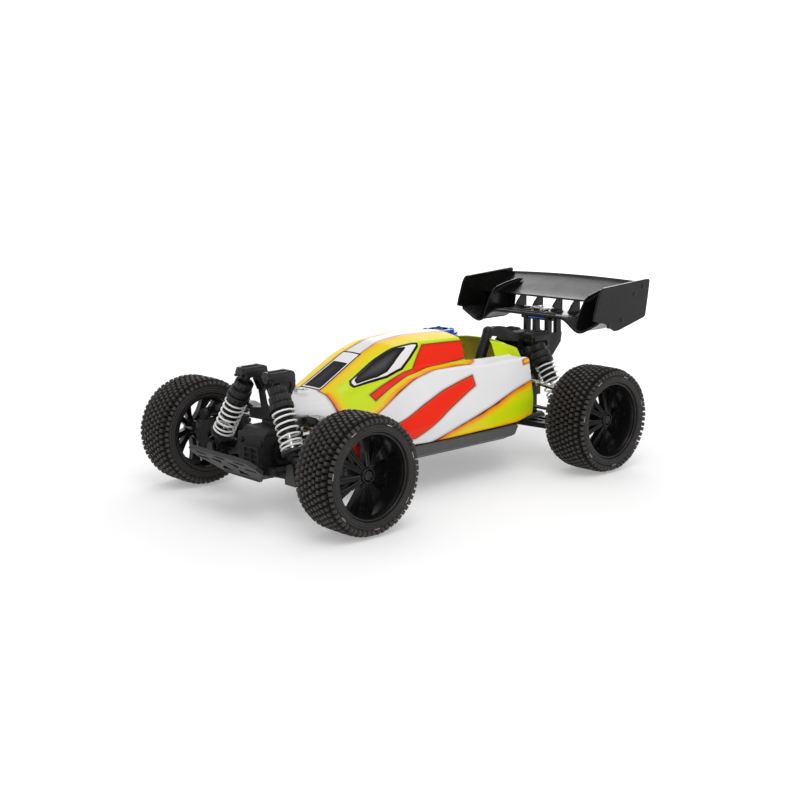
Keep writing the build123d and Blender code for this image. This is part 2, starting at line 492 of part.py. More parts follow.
for side, s in (("left", 1), ("right", -1)):
    with BuildPart() as arm:
        lower_arm(s, YF, ARM_OUT_F, Y(FRONT_SHOCK_Y[1]))
    save(arm.part, "front_lower_arm_" + side)
    with BuildPart() as arm:
        lower_arm(s, YR, ARM_OUT_R, Y(REAR_SHOCK_Y[1]))
    save(arm.part, "rear_lower_arm_" + side)

    # front upper arm, a bowed wishbone
    with BuildPart() as arm:
        ix, iz = UP_IN
        ox, oz = UP_OUT_F
        rod((s * ix, Y(-126.4), iz), (s * ix, Y(-118.6), iz), 4.0)
        rod((s * ox, YF - 3, oz), (s * ox, YF + 3, oz), 4.2)
        prism_y([(s * 28, 67.4), (s * 28, 73), (s * 40, 76), (s * 54, 76), (s * 68, 72), (s * 82, 66), (s * 82, 61),
                 (s * 68, 67), (s * 54, 71), (s * 40, 71)], Y(-137.2), Y(-118.8))
        # plan shape: narrow at the wheel, cut to a blade
        prism_z([(s * 26, Y(-127)), (s * 48, Y(-127)), (s * 72, Y(-136.5)), (s * 90, Y(-136.5)), (s * 90, Y(-140)),
                 (s * 20, Y(-140)), (s * 20, Y(-127))], 60, 80, mode=Mode.SUBTRACT)
        prism_z([(s * 33, Y(-118)), (s * 58, Y(-122)), (s * 78, Y(-131.5)), (s * 90, Y(-131.5)), (s * 90, Y(-117)),
                 (s * 33, Y(-117))], 60, 80, mode=Mode.SUBTRACT)
        rod((s * ox, YF - 3, oz), (s * ox, YF + 3, oz), 4.2)
        rod((s * ix, Y(-128), iz), (s * ix, Y(-117), iz), BORE_R, mode=Mode.SUBTRACT)
        rod((s * ox, YF - 5, oz), (s * ox, YF + 5, oz), 2.5, mode=Mode.SUBTRACT)
    save(arm.part, "front_upper_arm_" + side)

    # rear upper link, a turnbuckle with two eyes
    with BuildPart() as link:
        ix, iz = UP_IN
        ox, oz = UP_OUT_R
        y0, y1 = YR - 10.2, YR - 3.4
        ym = (y0 + y1) / 2
        rod((s * ix, y0, iz), (s * ix, y1, iz), 4.2)
        rod((s * ox, y0, oz), (s * ox, y1, oz), 4.6)
        rod((s * (ix + 2.5), ym, iz - 0.33), (s * (ox - 2.8), ym, oz + 0.37), 1.6)
        rod((s * (ix + 2.5), ym, iz - 0.33), (s * (ix + 13), ym, iz - 1.75), 2.6)
        rod((s * (ox - 13), ym, oz + 1.75), (s * (ox - 2.8), ym, oz + 0.37), 2.6)
        rod((s * ix, y0 - 1, iz), (s * ix, y1 + 1, iz), BORE_R, mode=Mode.SUBTRACT)
        rod((s * ox, y0 - 1, oz), (s * ox, y1 + 1, oz), 2.5, mode=Mode.SUBTRACT)
    save(link.part, "rear_upper_link_" + side)

    # C-shaped caster block
    with BuildPart() as block:
        ox, oz = ARM_OUT_F
        box(s * 79.5, s * 82.3, YF - 12.2, YF + 8.4, 34.6, 57.6)
        rod((s * 78, YF, AX_Z), (s * 84, YF, AX_Z), 6.4, mode=Mode.SUBTRACT)
        box(s * 79.5, s * 93.5, YF - 5.5, YF + 5.5, 34.6, 36.6)
        box(s * 79.5, s * 93.5, YF - 5.5, YF + 5.5, 53.4, 56.4)
        for y0, y1 in ((-9.8, -6.2), (6.2, 9.8)):
            box(s * 80.2, s * 89, YF + y0, YF + y1, 28, 37)
            rod((s * ox, YF + y0, oz), (s * ox, YF + y1, oz), 3.6)
        rod((s * ox, YF - 9.8, oz), (s * ox, YF + 9.8, oz), PIN_R)
        # kingpins
        rod((s * KING_X, YF, 36.6), (s * KING_X, YF, 39), 2)
        rod((s * KING_X, YF, 51), (s * KING_X, YF, 53.4), 2)
        # top fork and pin for the upper arm
        for y0, y1 in ((-7.6, -4.2), (4.2, 7.6)):
            box(s * 80, s * 86.5, YF + y0, YF + y1, 56.0, 64)
            rod((s * UP_OUT_F[0], YF + y0, UP_OUT_F[1]), (s * UP_OUT_F[0], YF + y1, UP_OUT_F[1]), 3.4)
        box(s * 80, s * 86.5, YF - 7.6, YF + 7.6, 55.4, 57.6)
        rod((s * UP_OUT_F[0], YF - 7.6, UP_OUT_F[1]), (s * UP_OUT_F[0], YF + 7.6, UP_OUT_F[1]), PIN_R)
    save(block.part, "caster_block_" + side)

    # front steering knuckle
    with BuildPart() as knuckle:
        box(s * 85, s * 96.8, YF - 6.4, YF + 6.4, 37.2, 52.8)
        rod((s * 84.5, YF, AX_Z), (s * 95.7, YF, AX_Z), 5.0, mode=Mode.SUBTRACT)
        rod((s * 84.5, YF, AX_Z), (s * 97, YF, AX_Z), 2.6, mode=Mode.SUBTRACT)
        rod((s * KING_X, YF, 36), (s * KING_X, YF, 39.4), 2.1, mode=Mode.SUBTRACT)
        rod((s * KING_X, YF, 50.6), (s * KING_X, YF, 54), 2.1, mode=Mode.SUBTRACT)
        prism_z([(s * (KING_X - 4), YF + 6), (s * (KING_X + 4), YF + 6), (s * (KING_X + 3.4), YF + STEER_ARM),
                 (s * (KING_X - 3.4), YF + STEER_ARM)], 48.6, 52.8)
        rod((s * KING_X, YF + STEER_ARM, 48.6), (s * KING_X, YF + STEER_ARM, 56.4), 3.2)
        rod((s * KING_X, YF + STEER_ARM, 56.4), (s * KING_X, YF + STEER_ARM, 65.4), 1.1)
    save(knuckle.part, "steering_knuckle_" + side)

    # rear hub carrier
    with BuildPart() as carrier:
        ox, oz = ARM_OUT_R
        box(s * 80, s * 94.8, YR - 8.5, YR + 8.5, 36, 54)
        rod((s * 80, YR, AX_Z), (s * 94.8, YR, AX_Z), 10)
        rod((s * 79, YR, AX_Z), (s * 83.5, YR, AX_Z), 6.4, mode=Mode.SUBTRACT)
        rod((s * 79, YR, AX_Z), (s * 96, YR, AX_Z), 2.6, mode=Mode.SUBTRACT)
        for y0, y1 in ((-9.8, -6.2), (6.2, 9.8)):
            box(s * 80.4, s * 88, YR + y0, YR + y1, 28.5, 38)
            rod((s * ox, YR + y0, oz), (s * ox, YR + y1, oz), 3.6)
        rod((s * ox, YR - 9.8, oz), (s * ox, YR + 9.8, oz), PIN_R)
        box(s * 77, s * 86, YR - 2.6, YR + 2.6, 53, 66)
        rod((s * UP_OUT_R[0], YR - 11.4, UP_OUT_R[1]), (s * UP_OUT_R[0], YR + 2.6, UP_OUT_R[1]), PIN_R)
        rod((s * UP_OUT_R[0], YR - 12.6, UP_OUT_R[1]), (s * UP_OUT_R[0], YR - 11.2, UP_OUT_R[1]), 3.4)
    save(carrier.part, "rear_hub_carrier_" + side)

    # drive shafts with a ball at each end
    for end, ay, xo, br in (("front", YF, KING_X, 2.5), ("rear", YR, 78.6, 2.9)):
        with BuildPart() as shaft:
            prof = [(21.6, 0), (21.9, 1.2), (22.8, 2.3), (24.5, 2.9), (26.2, 2.3), (26.9, 1.6),
                    (xo - br + 0.5, 1.6), (xo - 0.6 * br, 0.8 * br), (xo, br), (xo + 0.6 * br, 0.8 * br), (xo + 0.85 * br, 0.5 * br), (xo + 0.9 * br, 0)]
            with BuildSketch(Plane(origin=(0, ay, AX_Z), x_dir=(s, 0, 0), z_dir=(0, -s, 0))):
                Polygon(*ccw(prof), align=None)
            revolve(axis=Axis((0, ay, AX_Z), (1, 0, 0)))
        save(shaft.part, end + "_drive_shaft_" + side)

    # ------------------------------------------------------------ shocks
    for end, (yt, yb) in (("front", FRONT_SHOCK_Y), ("rear", REAR_SHOCK_Y)):
        top = Vector(s * SHOCK_TOP[0], Y(yt), SHOCK_TOP[1])
        low = Vector(s * SHOCK_LOW[0], Y(yb), SHOCK_LOW[1])
        u = (low - top).normalized()
        L = (low - top).length

        def at(t, u=u, top=top):
            p = top + u * t
            return (p.X, p.Y, p.Z)

        with BuildPart() as shock:
            rod((top.X, top.Y - 3.6, top.Z), (top.X, top.Y + 3.6, top.Z), 3.1)
            rod(at(0), at(8), 2.9)
            rod(at(7.2), at(14), 7.4)
            rod(at(13.5), at(43), 6.4)
            rod(at(15.5), at(21), 8.4)
            rod(at(21), at(25.6), 9.3)
            rod(at(16), at(41), 5.2, mode=Mode.SUBTRACT)
            rod(at(40), at(44), 1.8, mode=Mode.SUBTRACT)
            rod((top.X, top.Y - 5, top.Z), (top.X, top.Y + 5, top.Z), BORE_R, mode=Mode.SUBTRACT)
        save(shock.part, f"{end}_shock_body_{side}")

        with BuildPart() as ram:
            rod(at(34.5), at(37.5), 5.0)
            rod(at(34.5), at(L - 4), 1.6)
            rod(at(58.4), at(61), 9.3)
            rod(at(60.8), at(64.4), 5.4)
            rod(at(64), at(L - 2), 2.6)
            rod((low.X, low.Y - 3.2, low.Z), (low.X, low.Y + 3.2, low.Z), 4.4)
            rod((low.X, low.Y - 5, low.Z), (low.X, low.Y + 5, low.Z), 2.5, mode=Mode.SUBTRACT)
        save(ram.part, f"{end}_shock_rod_{side}")

        with BuildPart() as spring:
            wire, rr = 0.75, 8.15
            z0, z1 = 26.45, 57.55
            with BuildLine() as coil:
                Helix(pitch=(z1 - z0) / 6.5, height=z1 - z0, radius=rr, center=at(z0), direction=u)
            wire_path = coil.line
            with BuildSketch(Plane(origin=wire_path @ 0, z_dir=wire_path % 0)):
                Circle(wire)
            sweep(path=wire_path, is_frenet=True)
        save(spring.part, f"{end}_spring_{side}")

    # ------------------------------------------------------------ wheels
    for end, ay, xo, xi, cup, cup_len, cup_r, cup_bore in (("front", YF, FRONT_OUT, FRONT_IN, 86.0, 9.5, 4.8, 3.95),
                                                           ("rear", YR, REAR_OUT, REAR_IN, 76.2, 6.0, 5.0, 4.0)):
        d = 0 if end == "front" else -2.0
        ax_plane = Plane(origin=(0, ay, AX_Z), x_dir=(s, 0, 0), z_dir=(0, -s, 0))
        with BuildPart() as rim:
            with BuildSketch(ax_plane):
                Polygon(*ccw([(xi + 0.6, 29.6), (xi + 0.6, 32.6), (xi + 2.4, 32.6), (xi + 3.4, RIM_R), (xo - 5.4, RIM_R),
                              (xo - 4.4, 32.6), (xo - 2.6, 32.6), (xo - 2.6, 30.4), (xo - 8, BARREL_R + 0.6),
                              (99 + d, BARREL_R), (xi + 6, BARREL_R)]), align=None)
            revolve(axis=Axis((0, ay, AX_Z), (1, 0, 0)))
            rod((s * (99 + d), ay, AX_Z), (s * (111 + d), ay, AX_Z), 8)
            for k in range(5):
                for off in (-15, 15):
                    a = math.radians(54 + 72 * k + off)
                    c0, s0 = math.cos(a), math.sin(a)
                    with BuildSketch(Plane(origin=(s * (103.5 + d), ay + 6 * c0, AX_Z + 6 * s0),
                                           x_dir=(1, 0, 0), z_dir=(0, c0, s0))):
                        Rectangle(6, 4.6)
                    extrude(amount=24.5)
            rod((s * (98 + d), ay, AX_Z), (s * (112 + d), ay, AX_Z), 2.6, mode=Mode.SUBTRACT)
        with BuildPart() as axle:
            rod((s * cup, ay, AX_Z), (s * (cup + cup_len), ay, AX_Z), cup_r)
            rod((s * (cup - 1), ay, AX_Z), (s * (cup + cup_len - 1), ay, AX_Z), cup_bore, mode=Mode.SUBTRACT)
            rod((s * (cup + cup_len - 0.5), ay, AX_Z), (s * (113 + d), ay, AX_Z), 2.5)
            rod((s * (97.2 + d), ay, AX_Z), (s * (99 + d), ay, AX_Z), 6.2)
            with BuildSketch(Plane(origin=(s * (111 + d), ay, AX_Z), x_dir=(0, 1, 0), z_dir=(s, 0, 0))):
                RegularPolygon(4.8, 6)
            extrude(amount=4)
        wheel = Compound(label="rim", children=[rim.part, axle.part])
        wheel.label = f"rim_{end}_{side}"
        export_step(wheel, f"parts/rim_{end}_{side}.step")
        print(wheel.label, len(wheel.solids()))

        with BuildPart() as tyre:
            w = xo - xi
            with BuildSketch(ax_plane):
                Polygon(*ccw([(xi + 3.4, RIM_R), (xi + 2.4, 32.6), (xi + 0.6, 32.6), (xi, 35), (xi + 0.5, 39.5),
                              (xi + 3, 42.8), (xi + 8, 44.4), (xi + w / 2, TYRE_R), (xo - 8, 44.4), (xo - 3, 42.8),
                              (xo - 0.5, 39.5), (xo, 35), (xo - 2.6, 32.6), (xo - 4.4, 32.6), (xo - 5.4, RIM_R)]),
                        align=None)
            revolve(axis=Axis((0, ay, AX_Z), (1, 0, 0)))
        save(tyre.part, f"tyre_{end}_{side}")
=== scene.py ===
import json
import math
import random

import bmesh
import bpy
import numpy as np
from mathutils import Matrix, Vector


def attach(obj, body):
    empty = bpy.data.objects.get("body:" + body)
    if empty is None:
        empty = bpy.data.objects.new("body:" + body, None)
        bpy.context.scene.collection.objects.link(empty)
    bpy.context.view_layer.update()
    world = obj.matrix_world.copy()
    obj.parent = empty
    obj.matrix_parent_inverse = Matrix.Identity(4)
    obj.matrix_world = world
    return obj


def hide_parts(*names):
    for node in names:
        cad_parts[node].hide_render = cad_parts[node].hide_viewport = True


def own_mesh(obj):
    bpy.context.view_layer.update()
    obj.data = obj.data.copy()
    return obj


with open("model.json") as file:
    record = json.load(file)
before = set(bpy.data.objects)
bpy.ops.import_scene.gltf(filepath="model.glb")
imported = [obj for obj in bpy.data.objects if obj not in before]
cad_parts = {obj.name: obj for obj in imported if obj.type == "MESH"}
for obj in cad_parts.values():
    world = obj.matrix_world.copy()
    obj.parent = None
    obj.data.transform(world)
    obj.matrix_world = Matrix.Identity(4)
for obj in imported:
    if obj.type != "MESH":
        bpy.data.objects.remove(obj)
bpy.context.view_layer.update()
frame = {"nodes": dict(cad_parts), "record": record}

random.seed(7)
YM = -20.7            # middle of the wheelbase, mm
YF, YR = -134.0, 134.0
AX_Z = 45.0
SIDES = (("left", 1), ("right", -1))


def P(x, y, z):
    return Vector((x, y + YM, z)) * 0.001


# ------------------------------------------------------------------ materials
def mat(name, base, rough=0.5, metal=0.0, coat=0.0, vary=0.12, bump=0.15, scale=900.0, wear=0.25, wear_col=None,
        bevel=0.0003, spec=0.5, streak=False, coat_rough=0.08):
    m = bpy.data.materials.new(name)
    m.use_nodes = True
    nt = m.node_tree
    nt.nodes.clear()
    N, L = nt.nodes.new, nt.links.new
    out = N("ShaderNodeOutputMaterial")
    bs = N("ShaderNodeBsdfPrincipled")
    L(bs.outputs[0], out.inputs[0])
    tc = N("ShaderNodeTexCoord")
    mp = N("ShaderNodeMapping")
    L(tc.outputs["Object"], mp.inputs[0])
    if streak:
        mp.inputs["Scale"].default_value = (1, 0.06, 1)
    big = N("ShaderNodeTexNoise")
    big.inputs["Scale"].default_value = scale * 0.06
    big.inputs["Detail"].default_value = 4
    L(tc.outputs["Object"], big.inputs["Vector"])
    fine = N("ShaderNodeTexNoise")
    fine.inputs["Scale"].default_value = scale
    fine.inputs["Detail"].default_value = 6
    fine.inputs["Roughness"].default_value = 0.6
    L(mp.outputs[0], fine.inputs["Vector"])
    # colour variation
    mr = N("ShaderNodeMapRange")
    mr.inputs["From Min"].default_value = 0.3
    mr.inputs["From Max"].default_value = 0.7
    mr.inputs["To Min"].default_value = 1 - vary
    mr.inputs["To Max"].default_value = 1 + vary
    L(big.outputs[0], mr.inputs["Value"])
    hsv = N("ShaderNodeHueSaturation")
    hsv.inputs["Color"].default_value = (*base, 1)
    L(mr.outputs[0], hsv.inputs["Value"])
    # worn edges
    geo = N("ShaderNodeNewGeometry")
    ramp = N("ShaderNodeValToRGB")
    ramp.color_ramp.elements[0].position = 0.53
    ramp.color_ramp.elements[1].position = 0.62
    ramp.color_ramp.elements[1].color = (wear, wear, wear, 1)
    ramp.color_ramp.elements[0].color = (0, 0, 0, 1)
    L(geo.outputs["Pointiness"], ramp.inputs[0])
    mix = N("ShaderNodeMix")
    mix.data_type = "RGBA"
    wc = wear_col or tuple(min(1, c * 2.2 + 0.05) for c in base)
    mix.inputs["B"].default_value = (*wc, 1)
    L(ramp.outputs[0], mix.inputs["Factor"])
    L(hsv.outputs[0], mix.inputs["A"])
    L(mix.outputs["Result"], bs.inputs["Base Color"])
    # roughness
    rr = N("ShaderNodeMapRange")
    rr.inputs["From Min"].default_value = 0.3
    rr.inputs["From Max"].default_value = 0.7
    rr.inputs["To Min"].default_value = max(0.02, rough - 0.08)
    rr.inputs["To Max"].default_value = min(1, rough + 0.08)
    L(fine.outputs[0], rr.inputs["Value"])
    L(rr.outputs[0], bs.inputs["Roughness"])
    bs.inputs["Metallic"].default_value = metal
    bs.inputs["Coat Weight"].default_value = coat
    bs.inputs["Coat Roughness"].default_value = coat_rough
    bs.inputs["Specular IOR Level"].default_value = spec
    bp = N("ShaderNodeBump")
    bp.inputs["Strength"].default_value = bump
    bp.inputs["Distance"].default_value = 0.0002
    L(fine.outputs[0], bp.inputs["Height"])
    if bevel:
        bv = N("ShaderNodeBevel")
        bv.samples = 4
        bv.inputs["Radius"].default_value = bevel
        L(bv.outputs[0], bp.inputs["Normal"])
    L(bp.outputs[0], bs.inputs["Normal"])
    return m


NYLON = mat("black_nylon", (0.0070, 0.0070, 0.0072), rough=0.46, vary=0.2, bump=0.05, scale=1100, wear=0.35,
            wear_col=(0.07, 0.07, 0.07), spec=0.30)
GLOSS = mat("gloss_black", (0.0048, 0.0044, 0.0042), rough=0.24, coat=0.0, vary=0.12, bump=0.004, scale=70, wear=0.3,
            wear_col=(0.05, 0.047, 0.045), spec=0.22)
GREY = mat("dark_grey", (0.0090, 0.0090, 0.0094), rough=0.48, vary=0.15, bump=0.12, scale=1200, wear=0.4,
           wear_col=(0.07, 0.07, 0.07), spec=0.22)
CHASSIS = mat("chassis_alloy", (0.017, 0.0165, 0.016), rough=0.5, metal=0.0, vary=0.1, bump=0.08, scale=1500, wear=0.4,
              wear_col=(0.2, 0.2, 0.2), spec=0.12)
BLUE = mat("blue_alloy", (0.02, 0.10, 0.48), rough=0.25, metal=0.9, vary=0.1, bump=0.08, wear=0.3,
           wear_col=(0.3, 0.45, 0.85), streak=True)
ALLOY = mat("bare_alloy", (0.30, 0.30, 0.31), rough=0.45, metal=0.95, vary=0.1, bump=0.35, scale=1200, wear=0.3,
            wear_col=(0.8, 0.8, 0.8))
STEEL = mat("steel", (0.60, 0.60, 0.61), rough=0.22, metal=1.0, vary=0.08, bump=0.1, scale=1000, wear=0.3,
            wear_col=(0.85, 0.85, 0.85), streak=True)
SPRING = mat("spring_white", (0.80, 0.80, 0.78), rough=0.28, coat=0.3, vary=0.05, bump=0.08, wear=0.2, bevel=0,
             wear_col=(0.9, 0.9, 0.9))
RUBBER = mat("tyre_rubber", (0.0150, 0.0124, 0.0112), rough=0.62, vary=0.35, bump=0.3, scale=1300, wear=0.45, bevel=0.0003,
             wear_col=(0.055, 0.048, 0.044), spec=0.38)
WALL = mat("tyre_wall", (0.0135, 0.0115, 0.0105), rough=0.55, vary=0.25, bump=0.15, scale=900, wear=0.3, bevel=0,
           wear_col=(0.05, 0.045, 0.04), spec=0.4)
RIM = mat("rim_black", (0.0046, 0.0046, 0.0049), rough=0.33, coat=0.06, vary=0.15, bump=0.02, scale=500, wear=0.3,
          bevel=0.0003, wear_col=(0.04, 0.04, 0.042), spec=0.32)
# darker rubber for the carcass between the pins: painted shade in the gaps
TREAD_GAP_SHADE = mat("tread_gap_shade", (0.0052, 0.0044, 0.0040), rough=0.8, vary=0.3, bump=0.3, scale=900, wear=0.2, bevel=0,
            wear_col=(0.02, 0.018, 0.016), spec=0.15)
TANK = mat("tank_plastic", (0.70, 0.69, 0.64), rough=0.42, vary=0.05, bump=0.1, wear=0.1, wear_col=(0.8, 0.8, 0.76))
RED = mat("red_plastic", (0.85, 0.02, 0.015), rough=0.35, coat=0.2, vary=0.08, bump=0.08, wear=0.2, wear_col=(1, 0.2, 0.15))
# pale material for the dashes on the tyre shoulders: a painted highlight (glints)
PALE_GLINT = mat("pale_glint", (0.35, 0.34, 0.33), rough=0.6, vary=0.2, bump=0.3, wear=0.1, bevel=0,
                 wear_col=(0.5, 0.5, 0.5))

SLOT_MAT = {"black_nylon": NYLON, "gloss_black": GLOSS, "dark_grey": GREY, "chassis_alloy": CHASSIS,
            "blue_alloy": BLUE, "bare_alloy": ALLOY, "steel": STEEL, "spring_white": SPRING, "tyre_rubber": RUBBER,
            "rim_black": RIM, "tank_plastic": TANK, "shell_paint": GLOSS}
slot_of = {s["node"]: s["material_slot"] for s in frame["record"]["subparts"]}
for n, o in frame["nodes"].items():
    o.data.materials.clear()
    o.data.materials.append(SLOT_MAT[slot_of[n]])


# ------------------------------------------------------------------ mesh tools
class Mesh:
    """Collects faces in car millimetres, then makes one object."""

    def __init__(self):
        self.v, self.f, self.m, self.s = [], [], [], []

    def add(self, verts, faces, mi=0, smooth=True):
        o = len(self.v)
        self.v += [tuple(p) for p in verts]
        self.f += [tuple(o + i for i in f) for f in faces]
        self.m += [mi] * len(faces)
        self.s += [smooth] * len(faces)

    def prism(self, pts, d, axis, mi=0):
        """pts: closed list of 3-D points, d: vector to the other face."""
        n = len(pts)
        a = [Vector(p) for p in pts]
        b = [p + Vector(d) for p in a]
        # orient outwards
        nrm = sum(((a[i] - a[0]).cross(a[(i + 1) % n] - a[0]) for i in range(1, n - 1)), Vector())
        if nrm.dot(Vector(d)) > 0:
            a.reverse()
            b.reverse()
        faces = [tuple(range(n)), tuple(2 * n - 1 - i for i in range(n))]
        faces += [(i, n + i, n + (i + 1) % n, (i + 1) % n) for i in range(n)]
        self.add(a + b, faces, mi, False)

    def box(self, c, s, rot=None, mi=0):
        hx, hy, hz = s[0] / 2, s[1] / 2, s[2] / 2
        R = rot or Matrix.Identity(3)
        v = [Vector(c) + R @ Vector((x, y, z)) for x in (-hx, hx) for y in (-hy, hy) for z in (-hz, hz)]
        self.add(v, [(0, 1, 3, 2), (4, 6, 7, 5), (0, 4, 5, 1), (2, 3, 7, 6), (0, 2, 6, 4), (1, 5, 7, 3)], mi, False)

    def lathe(self, o, axis, prof, n=64, mi=0, smooth=True, closed=False, radial=None):
        """prof: (distance along axis, radius). radial(k) may scale the radius round the turn."""
        a = Vector(axis).normalized()
        u = a.orthogonal().normalized()
        w = a.cross(u)
        v, f = [], []
        for k in range(n):
            t = 2 * math.pi * k / n
            e = u * math.cos(t) + w * math.sin(t)
            q = radial(k) if radial else 1.0
            for d, r in prof:
                v.append(Vector(o) + a * d + e * (r * q))
        m = len(prof)
        for k in range(n):
            k2 = (k + 1) % n
            for i in range(m - 1 if not closed else m):
                j = (i + 1) % m
                f.append((k * m + i, k2 * m + i, k2 * m + j, k * m + j))
        self.add(v, f, mi, smooth)

    def tube(self, pts, r, n=10, mi=0, closed_ends=True):
        pts = [Vector(p) for p in pts]
        v, f = [], []
        t0 = (pts[1] - pts[0]).normalized()
        u = t0.orthogonal().normalized()
        for i, p in enumerate(pts):
            t = ((pts[min(i + 1, len(pts) - 1)]) - pts[max(i - 1, 0)]).normalized()
            u = (u - t * u.dot(t)).normalized()
            w = t.cross(u)
            rr = r[i] if isinstance(r, (list, tuple)) else r
            for k in range(n):
                a = 2 * math.pi * k / n
                v.append(p + (u * math.cos(a) + w * math.sin(a)) * rr)
        for i in range(len(pts) - 1):
            for k in range(n):
                k2 = (k + 1) % n
                f.append((i * n + k, i * n + k2, (i + 1) * n + k2, (i + 1) * n + k))
        if closed_ends:
            f.append(tuple(range(n - 1, -1, -1)))
            f.append(tuple((len(pts) - 1) * n + k for k in range(n)))
        self.add(v, f, mi, True)

    def obj(self, name, mats, bevel=0.0, seg=2, angle=35):
        me = bpy.data.meshes.new(name)
        me.from_pydata([P(*p) for p in self.v], [], self.f)
        for m in mats:
            me.materials.append(m)
        me.polygons.foreach_set("material_index", self.m)
        me.polygons.foreach_set("use_smooth", self.s)
        me.update()
        ob = bpy.data.objects.new(name, me)
        bpy.context.scene.collection.objects.link(ob)
        bm = bmesh.new()
        bm.from_mesh(me)
        bmesh.ops.recalc_face_normals(bm, faces=bm.faces)
        bm.to_mesh(me)
        bm.free()
        if bevel:
            b = ob.modifiers.new("bevel", "BEVEL")
            b.width = bevel * 0.001
            b.segments = seg
            b.limit_method = "ANGLE"
            b.angle_limit = math.radians(angle)
            b.harden_normals = False
        return ob


def auto_smooth(ob, deg=40):
    """Keeps edges sharper than this angle flat-shaded on a smooth mesh."""
    me = ob.data
    bm = bmesh.new()
    bm.from_mesh(me)
    for e in bm.edges:
        if len(e.link_faces) == 2 and e.calc_face_angle(0) > math.radians(deg):
            e.smooth = False
    for f in bm.faces:
        f.smooth = True
    bm.to_mesh(me)
    bm.free()
    return ob


# ------------------------------------------------------------------ body shell
BODY = [
    (-124, [(13, 70.5), (15.5, 72), (16, 73.6), (15, 75.4), (13, 77), (10, 78.2), (6, 79), (0, 79.3)]),
    (-110, [(25, 66), (27.5, 69.5), (27.5, 73), (25, 77), (22, 79.5), (17, 82), (9, 83.4), (0, 83.8)]),
    (-93, [(38, 58.5), (41, 63), (40, 69), (36, 75.5), (30, 81.5), (23, 86.3), (12.5, 88.4), (0, 88.7)]),
    (-72, [(54, 50), (57, 57), (53, 71), (44, 78), (34, 84), (25.5, 97), (12.5, 99.9), (0, 100.2)]),
    (-51, [(65, 44.5), (67, 56), (55, 86), (46, 89), (36, 91), (26, 108.2), (12.3, 111.4), (0, 111.8)]),
    (-30, [(66.5, 44), (68, 58), (53, 94), (44, 95.5), (36.5, 97), (26.5, 115.5), (12.5, 119.2), (0, 120)]),
    (-5, [(67, 44), (68, 60), (51, 97), (43.5, 98.3), (36.5, 99.5), (27.5, 117.6), (13, 121.6), (0, 122.5)]),
    (22, [(67, 44.3), (67.6, 60), (50.5, 96), (43.5, 97.0), (36.5, 98.2), (28.5, 117.2), (13, 120.8), (0, 121.7)]),
    (47, [(67, 44.6), (67, 60), (51, 94.4), (44, 94.8), (36.5, 95.4), (29.5, 116.6), (14, 119.6), (0, 120.4)]),
    (75, [(66.5, 45), (66, 62), (54, 96), (45, 95.6), (37, 95.4), (31, 111.4), (15, 113.8), (0, 114.4)]),
    (97, [(63, 48.5), (64, 62), (58.5, 97), (47, 96), (37, 96), (31.5, 106), (15, 108.2), (0, 108.6)]),
]
TAIL = [(96, [(37, 84), (36.8, 96), (31.4, 106), (15, 108.2), (0, 108.6)]),
        (112, [(36, 84), (35.6, 93), (30.5, 100.6), (15, 102.4), (0, 102.8)])]
NSEG = [12, 28, 7, 7, 17, 12, 10]
SIG = [0, 16, 57, 65, 72, 92, 107, 120]


def smooth_rows(a, sigma):
    h = 3 * int(sigma + 1)
    k = np.exp(-0.5 * (np.arange(-h, h + 1) / sigma) ** 2)
    k /= k.sum()
    pre = 2 * a[0] - a[1:h + 1][::-1]
    post = 2 * a[-1] - a[-h - 1:-1][::-1]
    p = np.concatenate([pre, a, post])
    return np.stack([np.convolve(p[:, i], k, "valid") for i in range(a.shape[1])], 1)


def body_grid(sections, nseg, ys, sigma_y):
    nc = len(sections[0][1])
    st = np.array([b[0] for b in sections], float)
    cp = np.array([[c for p in b[1] for c in p] for b in sections], float)
    fine = np.arange(st[0], st[-1] + 0.5, 1.0)
    ctl = np.stack([np.interp(fine, st, cp[:, i]) for i in range(2 * nc)], 1)
    if sigma_y:
        ctl = smooth_rows(ctl, sigma_y)
    ctl = np.stack([np.interp(ys, fine, ctl[:, i]) for i in range(2 * nc)], 1).reshape(len(ys), nc, 2)
    ts = np.concatenate([k + np.arange(n) / n for k, n in enumerate(nseg)] + [[float(nc - 1)]])
    out = np.zeros((len(ys), len(ts), 2))
    for j, row in enumerate(ctl):
        x = np.interp(ts, np.arange(nc), row[:, 0])
        z = np.interp(ts, np.arange(nc), row[:, 1])
        full = np.stack([np.concatenate([x, -x[:-1][::-1]]), np.concatenate([z, z[:-1][::-1]])], 1)
        out[j] = smooth_rows(full, 1.5)[:len(ts)]
    return ts, out


# paint outlines on the unrolled side: (car y, distance up the skin)
PAINT = {
    "cab": [(-96, 107), (-96, 58), (-78, 52), (-38, 56), (12, 61), (41, 66), (52, 72), (60, 105), (50, 114), (-28, 112),
            (-70, 108.3)],
    "red": [(-66, 63), (-20, 65), (46, 76), (46, 90), (0, 90), (-18, 72), (-66, 69)],
    "band": [(-60, 6), (-42, 6), (34, 40), (34, 50), (-60, 26)],
    "rear": [(-29, -4), (-24, 0), (110, 38), (110, -4)],
    "tip": [(112, 62), (90, 56), (90, 50), (112, 54)],
    "spark": [(200, 0), (201, 0), (201, 1)],
    "hood": [(200, 4), (201, 4), (201, 5)],
    "win_o": [(-75, 90.8), (-76, 86.1), (-74, 81.2), (-54, 75.5), (-44, 73.4), (-28, 73.8), (-16.5, 80.2), (-4.5, 88.5),
              (-3.5, 92.4), (-9.5, 93.6), (-24, 93.8), (-39, 93.6), (-54.5, 92.6), (-67.5, 91.6)],
    "win_p": [(-70.5, 87.6), (-70, 83.6), (-52, 78.4), (-42, 78.2), (-33, 82.0), (-24, 87.0), (-17.5, 90.4), (-28, 91.6),
              (-41, 91.4), (-54.5, 90.6), (-66.5, 89.4)],
}


